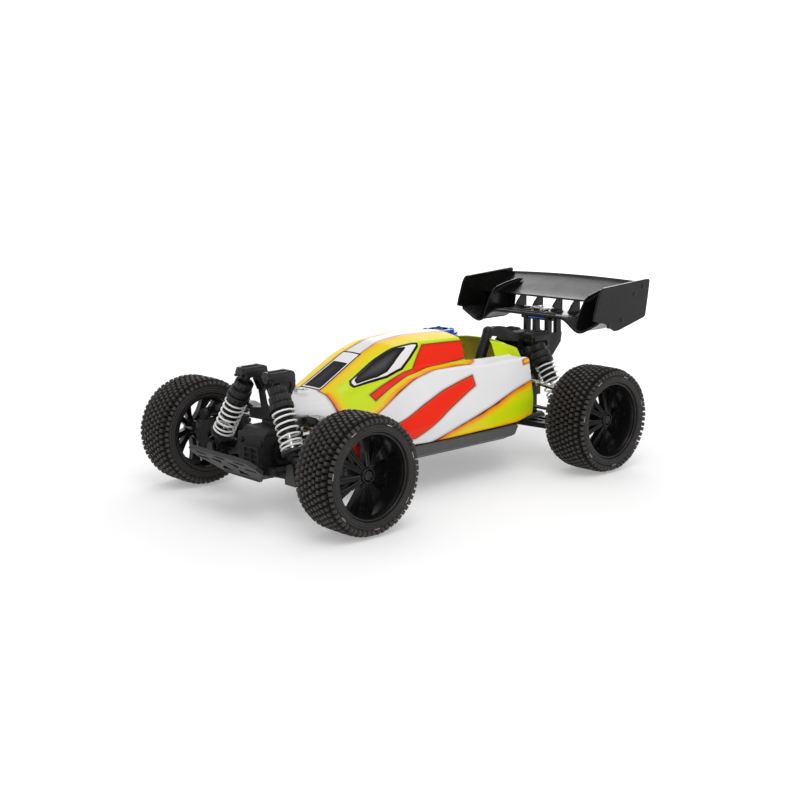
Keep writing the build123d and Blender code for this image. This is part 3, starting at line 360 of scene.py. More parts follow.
def poly_sd(poly, q):
    """Signed distance, negative inside, of points q (n, 2) to a polygon."""
    p = np.array(poly, float)
    d = np.full(len(q), 1e9)
    inside = np.zeros(len(q), bool)
    for a, b in zip(p, np.roll(p, -1, 0)):
        e = b - a
        w = q - a
        t = np.clip((w @ e) / (e @ e), 0, 1)
        d = np.minimum(d, np.hypot(*(w - t[:, None] * e).T))
        c = (a[1] > q[:, 1]) != (b[1] > q[:, 1])
        with np.errstate(divide="ignore", invalid="ignore"):
            xi = (b[0] - a[0]) * (q[:, 1] - a[1]) / (b[1] - a[1] + 1e-12) + a[0]
        inside ^= c & (q[:, 0] < xi)
    return np.where(inside, -d, d)


def paint_attrs(me, q, xs, keep):
    """q: unrolled coordinates (n, 2) for each vertex; xs: |x|."""
    for k, poly in PAINT.items():
        a = me.attributes.new("p_" + k, "FLOAT", "POINT")
        a.data.foreach_set("value", np.where(keep, poly_sd(poly, q), 50.0).astype(np.float32))
    a = me.attributes.new("p_up", "FLOAT", "POINT")
    a.data.foreach_set("value", q[:, 1].astype(np.float32))
    top = np.stack([q[:, 0], xs], 1)
    wide = lambda y: 11.0 + (-51 - y) / 42 * 1.6
    for name, y0, y1, w in (("wind_o", -95.2, -50.0, 0.0), ("wind_p", -92.6, -62.5, -2.6)):
        a = me.attributes.new("p_" + name, "FLOAT", "POINT")
        d = np.maximum(np.maximum(y0 - top[:, 0], top[:, 0] - y1), top[:, 1] - (wide(top[:, 0]) + w))
        a.data.foreach_set("value", np.where(q[:, 1] > 98, d, 50.0).astype(np.float32))


def paint_material():
    m = bpy.data.materials.new("shell_paint")
    m.use_nodes = True
    nt = m.node_tree
    N, L = nt.nodes.new, nt.links.new
    bs = nt.nodes["Principled BSDF"]

    def attr(name):
        a = N("ShaderNodeAttribute")
        a.attribute_name = "p_" + name
        return a.outputs["Fac"]

    def ramp(sock, lo, hi, stops, mode="LINEAR"):
        """stops: (value in mm, colour)"""
        mr = N("ShaderNodeMapRange")
        mr.inputs["From Min"].default_value = lo
        mr.inputs["From Max"].default_value = hi
        L(sock, mr.inputs["Value"])
        r = N("ShaderNodeValToRGB")
        r.color_ramp.interpolation = mode
        els = r.color_ramp.elements
        while len(els) < len(stops):
            els.new(0.5)
        for e, (v, c) in zip(els, stops):
            e.position = (v - lo) / (hi - lo)
            e.color = c if len(c) == 4 else (*c, 1)
        L(mr.outputs[0], r.inputs[0])
        return r

    tc = N("ShaderNodeTexCoord")
    noise = N("ShaderNodeTexNoise")
    noise.inputs["Scale"].default_value = 55
    noise.inputs["Detail"].default_value = 3
    L(tc.outputs["Object"], noise.inputs["Vector"])
    fine = N("ShaderNodeTexNoise")
    fine.inputs["Scale"].default_value = 2500
    fine.inputs["Detail"].default_value = 4
    L(tc.outputs["Object"], fine.inputs["Vector"])

    white = (0.80, 0.79, 0.79)
    lime, yellow, orange = (0.56, 0.72, 0.006), (0.84, 0.58, 0.006), (0.82, 0.21, 0.008)
    red, deep, brown = (0.84, 0.020, 0.003), (0.26, 0.012, 0.005), (0.045, 0.012, 0.006)
    base = N("ShaderNodeMix")
    base.data_type = "RGBA"
    base.inputs["A"].default_value = (*white, 1)
    base.inputs["B"].default_value = (0.73, 0.72, 0.74, 1)
    L(noise.outputs[0], base.inputs["Factor"])
    cur = base.outputs["Result"]

    def shade(name, reach, strength, colour=(0.22, 0.10, 0.06)):
        """Airbrushed shade that fades outwards from an outline."""
        nonlocal cur
        mk = N("ShaderNodeMapRange")
        mk.inputs["From Min"].default_value = reach
        mk.inputs["From Max"].default_value = 0.0
        mk.inputs["To Max"].default_value = strength
        mk.interpolation_type = "SMOOTHSTEP"
        L(attr(name), mk.inputs["Value"])
        mx = N("ShaderNodeMix")
        mx.data_type = "RGBA"
        L(mk.outputs[0], mx.inputs["Factor"])
        L(cur, mx.inputs["A"])
        mx.inputs["B"].default_value = (*colour, 1)
        cur = mx.outputs["Result"]

    def layer(name, stops, lo, hi, over=0.0, wob=0.0):
        nonlocal cur
        d = attr(name)
        if wob:
            ad = N("ShaderNodeMath")
            ad.operation = "MULTIPLY_ADD"
            L(noise.outputs[0], ad.inputs[0])
            ad.inputs[1].default_value = wob
            ad.inputs[2].default_value = -wob / 2
            ad2 = N("ShaderNodeMath")
            ad2.operation = "ADD"
            L(d, ad2.inputs[0])
            L(ad.outputs[0], ad2.inputs[1])
            d_col = ad2.outputs[0]
        else:
            d_col = d
        col = ramp(d_col, lo, hi, stops)
        # mask: 1 inside, soft over the last fraction of a millimetre
        mk = N("ShaderNodeMapRange")
        mk.inputs["From Min"].default_value = over + 0.10
        mk.inputs["From Max"].default_value = over - 0.10
        L(d, mk.inputs["Value"])
        mx = N("ShaderNodeMix")
        mx.data_type = "RGBA"
        L(mk.outputs[0], mx.inputs["Factor"])
        L(cur, mx.inputs["A"])
        L(col.outputs[0], mx.inputs["B"])
        cur = mx.outputs["Result"]

    glow = [(-14, lime), (-9.5, (0.62, 0.70, 0.006)), (-6.0, (0.78, 0.60, 0.006)), (-3.4, (0.82, 0.40, 0.007)), (-1.5, orange),
            (-0.6, (0.42, 0.05, 0.006)), (0.0, brown)]
    shade("hood", 1.6, 0.35)
    layer("hood", [(-5, yellow), (-2, orange), (-0.6, (0.6, 0.12, 0.01)), (0.1, brown)], -6, 0.2, wob=1.5)
    shade("cab", 2.4, 0.45)
    layer("cab", glow, -14, 0.2, wob=5)
    # the roof side runs from lime over yellow to orange towards the white band
    for lo, hi, amount, tone in ((90.5, 99.0, 0.80, yellow), (102.0, 114.0, 0.62, orange)):
        up = N("ShaderNodeMapRange")
        up.inputs["From Min"].default_value = lo
        up.inputs["From Max"].default_value = hi
        up.inputs["To Max"].default_value = amount
        up.interpolation_type = "SMOOTHSTEP"
        L(attr("up"), up.inputs["Value"])
        ins = N("ShaderNodeMath")
        ins.operation = "LESS_THAN"
        L(attr("cab"), ins.inputs[0])
        ins.inputs[1].default_value = -0.8
        both = N("ShaderNodeMath")
        both.operation = "MULTIPLY"
        L(up.outputs[0], both.inputs[0])
        L(ins.outputs[0], both.inputs[1])
        mx = N("ShaderNodeMix")
        mx.data_type = "RGBA"
        L(both.outputs[0], mx.inputs["Factor"])
        L(cur, mx.inputs["A"])
        mx.inputs["B"].default_value = (*tone, 1)
        cur = mx.outputs["Result"]
    layer("spark", [(-3, white), (-0.2, white), (0.1, (0.8, 0.7, 0.5))], -3, 0.2)
    shade("red", 1.5, 0.5)
    layer("red", [(-10, red), (-3.0, red), (-1.1, (0.70, 0.02, 0.006)), (-0.4, deep), (0.1, brown)], -10, 0.3)
    shade("rear", 2.6, 0.45)
    layer("rear", glow, -14, 0.2, wob=4)
    shade("tip", 2.0, 0.4)
    layer("tip", [(-6, yellow), (-3, yellow), (-1.2, orange), (-0.4, (0.45, 0.06, 0.006)), (0.0, brown)], -6, 0.2, wob=1.5)
    shade("band", 2.2, 0.5)
    layer("band", [(-10, red), (-2.6, red), (-1.2, (0.72, 0.06, 0.006)), (-0.5, deep), (0.1, brown)], -10, 0.3)
    black = (0.004, 0.004, 0.005)
    grey = (0.085, 0.088, 0.095)
    layer("win_o", [(-10, white), (-2.05, white), (-1.85, black), (0.3, black)], -10, 0.3, over=0.25)
    layer("win_p", [(-8, grey), (-4, (0.05, 0.05, 0.055)), (-1.2, (0.012, 0.012, 0.014)), (-0.2, black), (1.2, black)], -8, 1.3,
          over=0.6)
    layer("wind_o", [(-10, white), (-1.35, white), (-1.15, black), (0.3, black)], -10, 0.3, over=0.2)
    layer("wind_p", [(-10, (0.03, 0.032, 0.035)), (-4.5, (0.010, 0.010, 0.012)), (-1, black), (0.3, black)], -10, 0.3)
    L(cur, bs.inputs["Base Color"])
    rr = N("ShaderNodeMapRange")
    rr.inputs["To Min"].default_value = 0.16
    rr.inputs["To Max"].default_value = 0.24
    L(noise.outputs[0], rr.inputs["Value"])
    L(rr.outputs[0], bs.inputs["Roughness"])
    lw = N("ShaderNodeLayerWeight")
    sp = N("ShaderNodeMapRange")
    sp.inputs["From Min"].default_value = 0.25
    sp.inputs["From Max"].default_value = 0.8
    sp.inputs["To Min"].default_value = 0.22
    sp.inputs["To Max"].default_value = 0.02
    L(lw.outputs["Facing"], sp.inputs["Value"])
    L(sp.outputs[0], bs.inputs["Specular IOR Level"])
    bs.inputs["Coat Weight"].default_value = 0.0
    bp = N("ShaderNodeBump")
    bp.inputs["Strength"].default_value = 0.02
    bp.inputs["Distance"].default_value = 0.0002
    L(fine.outputs[0], bp.inputs["Height"])
    L(bp.outputs[0], bs.inputs["Normal"])
    return m


PAINT_MAT = paint_material()
# inside of the shell: base colour raised to a bright olive-yellow, painted light standing in for light shining through
# the thin shell
INSIDE = mat("shell_inside", (0.92, 0.80, 0.08), rough=0.5, vary=0.2, bump=0.15, wear=0.1, bevel=0, wear_col=(0.5, 0.5, 0.3))


def shell_piece(name, sections, nseg, ys, sigma, sig, cut, nose):
    ts, g = body_grid(sections, nseg, ys, sigma)
    ny, nt = len(ys), len(ts)
    full = 2 * nt - 1
    v, q, xs = [], [], []
    for j, y in enumerate(ys):
        for i in range(full):
            k = i if i < nt else full - 1 - i
            s = 1 if i < nt else -1
            x, z = g[j, k]
            v.append(P(x * s, y, z))
            q.append((y, np.interp(ts[k], range(len(sig)), sig)))
            xs.append(abs(x))
    faces = []
    for j in range(ny - 1):
        yc = (ys[j] + ys[j + 1]) / 2
        for i in range(full - 1):
            k = i + 0.5 if i < nt - 1 else full - 1 - (i + 0.5)
            tc = np.interp(k, range(nt), ts)
            if cut(yc, tc, 1 if i < nt - 1 else -1):
                continue
            a = j * full + i
            faces.append((a, a + full, a + full + 1, a + 1))
    if nose:
        faces.append(tuple(range(full)))
    me = bpy.data.meshes.new(name)
    me.from_pydata(v, [], faces)
    me.materials.append(PAINT_MAT)
    me.materials.append(INSIDE)
    me.update()
    paint_attrs(me, np.array(q, float), np.array(xs), np.array([True] * len(v)))
    ob = bpy.data.objects.new(name, me)
    bpy.context.scene.collection.objects.link(ob)
    bm = bmesh.new()
    bm.from_mesh(me)
    loose = [x for x in bm.verts if not x.link_faces]
    bmesh.ops.delete(bm, geom=loose, context="VERTS")
    for f in bm.faces:
        f.smooth = True
    bm.to_mesh(me)
    bm.free()
    so = ob.modifiers.new("skin", "SOLIDIFY")
    so.thickness = 0.0012
    so.offset = -1
    so.material_offset = 1
    so.material_offset_rim = 0
    so.use_even_offset = False
    return ob


def cut_main(y, t, side):
    if 47 < y < 95 and t > 5.12:
        return True
    if side > 0:
        return 43 < y < 79 and t > 4.12
    return 47 < y < 95 and t > 5.0


shell = shell_piece("body_shell_skin", BODY, NSEG, np.arange(-124, 97.01, 1.0), 4.0, SIG, cut_main, True)
tail = shell_piece("body_shell_tail", TAIL, [9, 8, 12, 10], np.arange(96.5, 112.01, 1.0), 0.0,
                   [52, 72, 92, 107, 120], lambda y, t, s: False, False)
# the tail block is lime all over
for nme in ("p_rear",):
    a = tail.data.attributes[nme]
    a.data.foreach_set("value", np.full(len(tail.data.vertices), -14.0, np.float32))
for nme in ("p_cab", "p_red", "p_tip", "p_band", "p_spark", "p_hood"):
    a = tail.data.attributes[nme]
    a.data.foreach_set("value", np.full(len(tail.data.vertices), 50.0, np.float32))
# the upper wall of the rear block, between the opening and the tail, is lime too
me = shell.data
co = np.array([v.co for v in me.vertices]) * 1000
yc = co[:, 1] - YM
pa = me.attributes["p_rear"]
val = np.zeros(len(me.vertices), np.float32)
pa.data.foreach_get("value", val)
blk = (yc > 78.5) & (co[:, 2] > 96.9)
val[blk] = -14
pa.data.foreach_set("value", val)

# end wall that closes the tail
W = Mesh()
half = [(35.2, 66), (35.2, 84), (34.8, 92.8), (30.0, 99.9), (15, 101.6), (0, 102.0)]
W.prism([(x, 110.4, z) for x, z in half] + [(-x, 110.4, z) for x, z in half[-2::-1]], (0, 1.2, 0), 1)
back_wall = W.obj("body_shell_end_wall", [PAINT_MAT, INSIDE], bevel=0.0)
# outer face painted like the tail, inner face left bare
me = back_wall.data
for pg in me.polygons:
    pg.material_index = 0 if pg.normal.y > 0.5 else 1
for nme in list(PAINT) + ["wind_o", "wind_p", "up"]:
    a = me.attributes.new("p_" + nme, "FLOAT", "POINT")
    a.data.foreach_set("value", np.full(len(me.vertices), -14.0 if nme == "rear" else 50.0, np.float32))

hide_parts("body_shell")
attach(shell, "car")
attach(tail, "car")
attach(back_wall, "car")


# ------------------------------------------------------------------ wheels
def wheel(end, side, s):
    ay = YF if end == "front" else YR
    xo = 125.0 if end == "front" else 123.0
    xi = 85.0 if end == "front" else 81.0
    d = 0.0 if end == "front" else -2.0
    w = xo - xi
    o = (0, ay, AX_Z)
    ax = (s, 0, 0)
    body = f"{end}_wheel_{side}"
    rnd = random.Random(f"{end}{side}")
    # tyre carcass with ring lines on the side walls
    M = Mesh()
    prof = [(xo - 5.4, 31.0), (xo - 4.4, 32.4), (xo - 2.6, 32.6), (xo - 1.2, 32.9), (xo - 0.7, 33.3), (xo - 0.55, 34.0),
            (xo - 0.95, 34.2), (xo - 0.95, 34.5), (xo - 0.45, 34.8), (xo - 0.35, 36.0), (xo - 0.8, 36.2), (xo - 0.8, 36.5),
            (xo - 0.4, 36.8), (xo - 0.9, 37.9), (xo - 2.0, 38.8), (xo - 4.0, 39.8), (xo - 8, 40.7), (xo - 13, 41.2),
            ((xo + xi) / 2, 41.4)]
    mirrored = [(xi + xo - a, r) for a, r in reversed(prof[:-1])]
    M.lathe(o, ax, prof + mirrored, n=120, mi=0)
    # carcass faces beyond r 38.4 take the darker rubber: painted shade between the pins
    for i, f in enumerate(M.f):
        q = sum((Vector(M.v[j]) for j in f), Vector()) / 4
        if math.hypot(q.y - ay, q.z - AX_Z) > 38.4:
            M.m[i] = 1
    tyre = M.obj(f"tyre_carcass_{end}_{side}", [WALL, TREAD_GAP_SHADE])
    # pins
    T = Mesh()
    rows = 9
    nring = 58
    usable = w - 1.2
    for k in range(rows):
        # the outer rows lean over the shoulder
        f = (k + 0.5) / rows * 2 - 1            # -1 inner edge .. 1 outer edge
        a = (xi + xo) / 2 + f * usable / 2
        af = abs(f)
        if af > 0.86:
            r0, tilt, a = 39.0, math.radians(50), a - math.copysign(0.7, f)
        elif af > 0.6:
            r0, tilt = 40.4, math.radians(20)
        else:
            r0, tilt = 40.9 + 0.35 * (1 - af), math.radians(5)
        tilt = math.copysign(tilt, f)
        for j in range(nring):
            th = 2 * math.pi * (j + (0.5 if k % 2 else 0.0)) / nring + rnd.uniform(-0.006, 0.006)
            e = Vector((0, math.cos(th), math.sin(th)))
            tg = Vector((0, -math.sin(th), math.cos(th)))
            n = (e * math.cos(tilt) + Vector((s, 0, 0)) * math.sin(tilt)).normalized()
            u = n.cross(tg).normalized()
            c = Vector(o) + Vector((s, 0, 0)) * a + e * r0
            hb, ht, h = 1.62, 1.20, 4.2
            if k % 2 == 0 and af < 0.6:
                hb, ht = 1.72, 1.32
            if af > 0.86:
                hb, ht, h = 1.75, 1.35, 4.2
            h = min(h, (TY_MAX - r0) / max(0.35, math.cos(tilt)) - (ht * math.sin(abs(tilt))) / max(0.35, math.cos(tilt)))
            h *= rnd.uniform(0.94, 1.0)
            b = [c + u * (i * hb) + tg * (q * hb) for i, q in ((-1, -1), (1, -1), (1, 1), (-1, 1))]
            t = [c + n * h + u * (i * ht) + tg * (q * ht) for i, q in ((-1, -1), (1, -1), (1, 1), (-1, 1))]
            T.add(b + t, [(4, 5, 6, 7), (0, 1, 5, 4), (1, 2, 6, 5), (2, 3, 7, 6), (3, 0, 4, 7)], 0, False)
    pins = T.obj(f"tyre_pins_{end}_{side}", [RUBBER])
    # short pale dashes on the shoulder: painted highlights standing in for glints
    K = Mesh()
    for j in range(7):
        th = 2 * math.pi * (j + 0.3) / 7
        e = Vector((0, math.cos(th), math.sin(th)))
        tg = Vector((0, -math.sin(th), math.cos(th)))
        c = Vector(o) + Vector((s, 0, 0)) * (xo - 1.45) + e * 38.4
        R = Matrix((Vector((s, 0, 0)), e, tg)).transposed()
        K.box(c, (0.5, 0.8, 5.0), R)
    glints = K.obj(f"tyre_glints_{end}_{side}", [PALE_GLINT], bevel=0.12, seg=1)
    for ob in (tyre, pins, glints):
        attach(ob, body)
    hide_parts(f"tyre_{end}_{side}")

    # rim
    R = Mesh()
    R.lathe(o, ax, [(xi + 0.6, 29.7), (xi + 0.6, 32.4), (xi + 2.4, 32.5), (xi + 3.4, 31.0), (xo - 5.6, 31.0), (xo - 4.6, 32.4),
                    (xo - 2.9, 32.5), (xo - 2.5, 32.2), (xo - 2.5, 31.0), (xo - 3.3, 30.5), (xo - 3.6, 30.5), (xo - 4.2, 30.9),
                    (xo - 5.0, 30.6), (xo - 6.2, 29.9), (xo - 9.0, 29.5), (xo - 15, 29.2), (99 + d, 29.0), (xi + 6, 29.0),
                    (xi + 1.4, 29.2)], n=120, mi=0, closed=True)
    # hub
    R.lathe(o, ax, [(99 + d, 2.7), (99 + d, 8.0), (103.0 + d, 8.0), (109.0 + d, 6.6), (115.0 + d, 6.0), (116.8 + d, 5.8),
                    (117.4 + d, 5.3), (117.4 + d, 4.8), (114.4 + d, 4.7), (114.4 + d, 2.7)], n=60, mi=0, closed=True)
    # twin spokes, each a tapered blade with a raised middle rib
    X = Vector((s, 0, 0))
    for k in range(5):
        for off in (-14, 14):
            a = math.radians(58 + 72 * k + off)
            a_hub = math.radians(58 + 72 * k + off * 1.15)
            e1 = Vector((0, math.cos(a), math.sin(a)))
            g1 = Vector((0, -math.sin(a), math.cos(a)))
            e0 = Vector((0, math.cos(a_hub), math.sin(a_hub)))
            stations = [(4.9, 1.7, 109.0, 116.4), (9, 1.9, 107.2, 114.6), (15, 2.1, 104.6, 111.6), (20.5, 3.0, 102.4, 109.0),
                        (25.5, 4.3, 101.0, 107.0), (29.3, 5.8, 100.4, 105.8)]
            vs, fs = [], []
            for r, hw, x0, x1 in stations:
                c = Vector(o) + e0.lerp(e1, min(1.0, max(0.0, (r - 5) / 8))).normalized() * r
                for xx, ww in ((x0, hw), (x0, -hw), (x1 - 1.1, -hw), (x1 - 0.5, -hw * 0.55), (x1 - 0.9, -hw * 0.35),
                               (x1, -hw * 0.16), (x1, hw * 0.16), (x1 - 0.9, hw * 0.35), (x1 - 0.5, hw * 0.55), (x1 - 1.1, hw)):
                    vs.append(c + X * (xx + d) + g1 * ww)
            m = 10
            for i in range(len(stations) - 1):
                for q in range(m):
                    q2 = (q + 1) % m
                    fs.append((i * m + q, i * m + q2, (i + 1) * m + q2, (i + 1) * m + q))
            fs.append(tuple(range(m)))
            fs.append(tuple((len(stations) - 1) * m + q for q in reversed(range(m))))
            R.add(vs, fs, 0, False)
        # web joining each pair at the barrel, and a pad at the hub
        for r, th, x0, x1, hw in ((27.9, 2.2, 100.6, 104.6, 7.0), (8.4, 2.8, 106.6, 112.6, 2.8)):
            a = math.radians(58 + 72 * k)
            e = Vector((0, math.cos(a), math.sin(a)))
            g = Vector((0, -math.sin(a), math.cos(a)))
            B = Matrix((X, e, g)).transposed()
            R.box(Vector(o) + e * r + X * ((x0 + x1) / 2 + d), (x1 - x0, th, 2 * hw), B)
        # cross ribs in the gap between pairs
        a = math.radians(58 + 72 * k + 36)
        e = Vector((0, math.cos(a), math.sin(a)))
        g = Vector((0, -math.sin(a), math.cos(a)))
        B = Matrix((X, e, g)).transposed()
        R.box(Vector(o) + e * 27.2 + X * (102.4 + d), (3.6, 3.6, 11.5), B)
    rim = R.obj(f"rim_{end}_{side}_face", [RIM], bevel=0.28, seg=2, angle=40)
    # serrated wheel nut and stub axle
    A = Mesh()
    A.lathe(o, ax, [(114.2 + d, 3.9), (114.9 + d, 4.4), (115.5 + d, 4.4), (115.8 + d, 3.9)], n=72, mi=0,
            radial=lambda k: 1.0 if k % 4 < 2 else 0.92)
    A.lathe(o, ax, [(115.6 + d, 3.9), (115.8 + d, 3.8), (117.2 + d, 3.7), (117.6 + d, 3.2), (117.6 + d, 2.4), (116.6 + d, 2.3)],
            n=6, mi=0, smooth=False)
    A.lathe(o, ax, [(114.2 + d, 2.3), (116.9 + d, 2.3), (117.2 + d, 1.8), (117.2 + d, 0.01)], n=24, mi=0)
    cup, cl, cr, cb = (86.0, 9.5, 4.8, 3.95) if end == "front" else (76.2, 6.0, 5.0, 4.0)
    A.lathe(o, ax, [(cup + cl - 1, 0.01), (cup + cl - 1, cb), (cup + 0.3, cb), (cup, cb + 0.2), (cup, cr - 0.2), (cup + 0.3, cr),
                    (cup + cl, cr), (cup + cl + 0.1, 2.5), (97.2 + d, 2.5), (97.2 + d, 6.0), (97.5 + d, 6.2), (99 + d, 6.2),
                    (99 + d, 2.6)], n=40, mi=1)
    nut = A.obj(f"wheel_nut_{end}_{side}", [NYLON, STEEL], bevel=0.15, seg=1, angle=40)
    auto_smooth(nut, 38)
    for ob in (rim, nut):
        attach(ob, body)
    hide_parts(f"rim_{end}_{side}")


TY_MAX = 44.9
for end in ("front", "rear"):
    for side, s in SIDES:
        wheel(end, side, s)


# ------------------------------------------------------------------ shocks and springs
def shock(end, side, s):
    yt, yb = (-141.0, -149.0) if end == "front" else (148.0, 148.0)
    top = Vector((s * 17, yt, 104))
    low = Vector((s * 53, yb, 42))
    u = (low - top).normalized()
    L = (low - top).length
    o = tuple(top)
    M = Mesh()
    # top eye and cap with ribs, threaded body, spring collar
    M.lathe((top.x, top.y - 3.6, top.z), (0, 1, 0), [(0, 1.6), (0, 2.8), (0.4, 3.1), (6.8, 3.1), (7.2, 2.8), (7.2, 1.6)], n=32)
    M.lathe(o, u, [(1.5, 0.01), (1.5, 2.9), (6.6, 3.0), (7.2, 5.6), (7.6, 6.9), (8.4, 7.5), (12.4, 7.6), (13.2, 7.2), (13.6, 6.9)],
            n=72, radial=lambda k: 1.0 if k % 6 < 4 else 0.955)
    body = [(13.4, 6.7)]
    x = 13.8
    while x < 42.0:
        body += [(x, 6.62), (x + 0.35, 6.3), (x + 0.7, 6.62)]
        x += 0.9
    body += [(42.4, 6.5), (43.0, 6.0), (43.0, 1.8)]
    M.lathe(o, u, body, n=48)
    M.lathe(o, u, [(14.6, 6.6), (14.8, 8.2), (15.4, 8.6), (20.0, 8.6), (20.6, 8.2), (20.8, 7.8)], n=72,
            radial=lambda k: 1.0 if k % 3 < 2 else 0.96)
    M.lathe(o, u, [(21.0, 7.4), (21.2, 9.0), (21.6, 9.4), (24.6, 9.4), (25.2, 9.2), (25.6, 8.6), (25.6, 6.6)], n=64,
            radial=lambda k: 1.0 if k % 4 < 3 else 0.965)
    # square pad on the collar
    side_v = Vector((0, -1, 0)).cross(u).normalized()
    fr = Matrix((side_v, u, side_v.cross(u))).transposed()
    M.box(top + u * 17.8 + side_v.cross(u) * 8.3, (5.2, 4.4, 1.2), fr)
    sh = auto_smooth(M.obj(f"shock_{end}_{side}", [NYLON]), 32)
    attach(sh, f"{end}_shock_{side}")
    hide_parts(f"{end}_shock_body_{side}")
    # rod, perch and lower eye
    A = Mesh()
    A.lathe(o, u, [(34, 0.01), (34, 1.6), (L - 4, 1.6)], n=24, mi=1)
    A.lathe(o, u, [(57.6, 5.2), (57.8, 6.6), (58.2, 6.8), (58.6, 9.0), (59.2, 9.3), (60.6, 9.3), (61.2, 8.8), (61.4, 5.6),
                   (64.0, 5.2), (64.6, 3.4), (L - 3.8, 3.0)], n=60, mi=0)
    A.lathe((low.x, low.y - 3.2, low.z), (0, 1, 0), [(0, 2.5), (0, 4.2), (0.4, 4.5), (6.0, 4.5), (6.4, 4.2), (6.4, 2.5)], n=36, mi=0)
    rod = auto_smooth(A.obj(f"shock_ram_{end}_{side}", [NYLON, STEEL]), 35)
    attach(rod, f"{end}_shock_ram_{side}")
    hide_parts(f"{end}_shock_rod_{side}")
    # coil spring with closed ends
    e1 = u.orthogonal().normalized()
    e2 = u.cross(e1)
    a0, a1, turns = 26.4, 57.5, 7.2
    pts = []
    n = 340
    for i in range(n + 1):
        t = i / n
        # slow at both ends, even between
        ph = turns * t * 2 * math.pi
        k = t * turns
        if k < 0.9:
            h = k * 0.13 / 0.9
        elif k > turns - 0.9:
            h = 1 - (turns - k) * 0.13 / 0.9 * 0.5
            h = 1 - (turns - k) * 0.052 / 0.9
        else:
            h = 0.052 + (k - 0.9) / (turns - 1.8) * (1 - 0.104)
        if k < 0.9:
            h = k * 0.052 / 0.9
        c = top + u * (a0 + 0.75 + h * (a1 - a0 - 1.5))
        pts.append(c + (e1 * math.cos(ph) + e2 * math.sin(ph)) * 8.3)
    S = Mesh()
    S.tube(pts, 0.78, n=12)
    sp = S.obj(f"spring_{end}_{side}", [SPRING])
    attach(sp, f"{end}_shock_{side}")
    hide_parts(f"{end}_spring_{side}")
    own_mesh(sp)


for end in ("front", "rear"):
    for side, s in SIDES:
        shock(end, side, s)

# ------------------------------------------------------------------ red part seen behind the front spokes
for side, s in SIDES[:1]:
    C = Mesh()
    for y, z, h in ((YF + 2.4, 63.4, 9.0), (YF + 9.2, 66.4, 14.0)):
        C.lathe((s * 96.9, y, z), (s, 0, 0), [(0, 0.01), (0, 3.0), (0.5, 3.5), (2.5, 3.5), (2.9, 3.0), (2.9, 0.01)], n=28)
        C.box((s * 98.3, y + 0.2, z - h / 2), (2.5, 5.8, h), None)
    C.box((s * 97.4, YF + 6.2, 54.4), (2.0, 14.0, 5.0))
    cal = C.obj(f"knuckle_guard_{side}", [RED], bevel=0.5, seg=2)
    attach(cal, f"knuckle_{side}")

# ------------------------------------------------------------------ wing
W = Mesh()


def strip(M, rows, t, mi=0):
    """A thin sheet from rows of points, thickened downwards by t."""
    n, m = len(rows), len(rows[0])
    v = [Vector(p) for r in rows for p in r] + [Vector(p) - Vector((0, 0, t)) for r in rows for p in r]
    f = []
    o = n * m
    for i in range(n - 1):
        for j in range(m - 1):
            a = i * m + j
            f.append((a, a + 1, a + m + 1, a + m))
            f.append((o + a, o + a + m, o + a + m + 1, o + a + 1))
    for j in range(m - 1):
        f.append((j, o + j, o + j + 1, j + 1))
        a = (n - 1) * m + j
        f.append((a, a + 1, o + a + 1, o + a))
    for i in range(n - 1):
        a = i * m
        f.append((a, a + m, o + a + m, o + a))
        a = i * m + m - 1
        f.append((a, o + a, o + a + m, a + m))
    M.add(v, f, mi, True)


def wing_low(x):
    ax = abs(x)
    pts = [(0, 125), (33, 125), (44, 124.6), (58, 114.0), (64, 113.4), (70, 116), (84, 123.5)]
    return float(np.interp(ax, [p[0] for p in pts], [p[1] for p in pts]))


xs = [i * 2.0 for i in range(-42, 43)]
zl = smooth_rows(np.array([[wing_low(x)] for x in xs]), 1.6)[:, 0]
rows = []
for y, dz in ((157.0, -1.2), (158.0, -0.4), (160, 0.0), (165, 0.1), (172, 0.1), (180, 0.1), (188, 0.2), (191, 0.2)):
    rows.append([(x, y, z + dz) for x, z in zip(xs, zl)])
strip(W, rows, 1.7)
# main blade behind, cambered and arched towards its middle
rows = []
prof = [(186.0, 136.6), (188, 136.9), (192, 138.0), (198, 140.3), (204, 142.9), (210, 145.4), (216, 148.0), (221, 150.4),
        (224.6, 152.6), (226.0, 154.0)]
for y, z in prof:
    rows.append([(x, y, z - 1.9 * (abs(x) / 84) ** 2 * (y - 186) / 40) for x in xs])
strip(W, rows, 1.6)
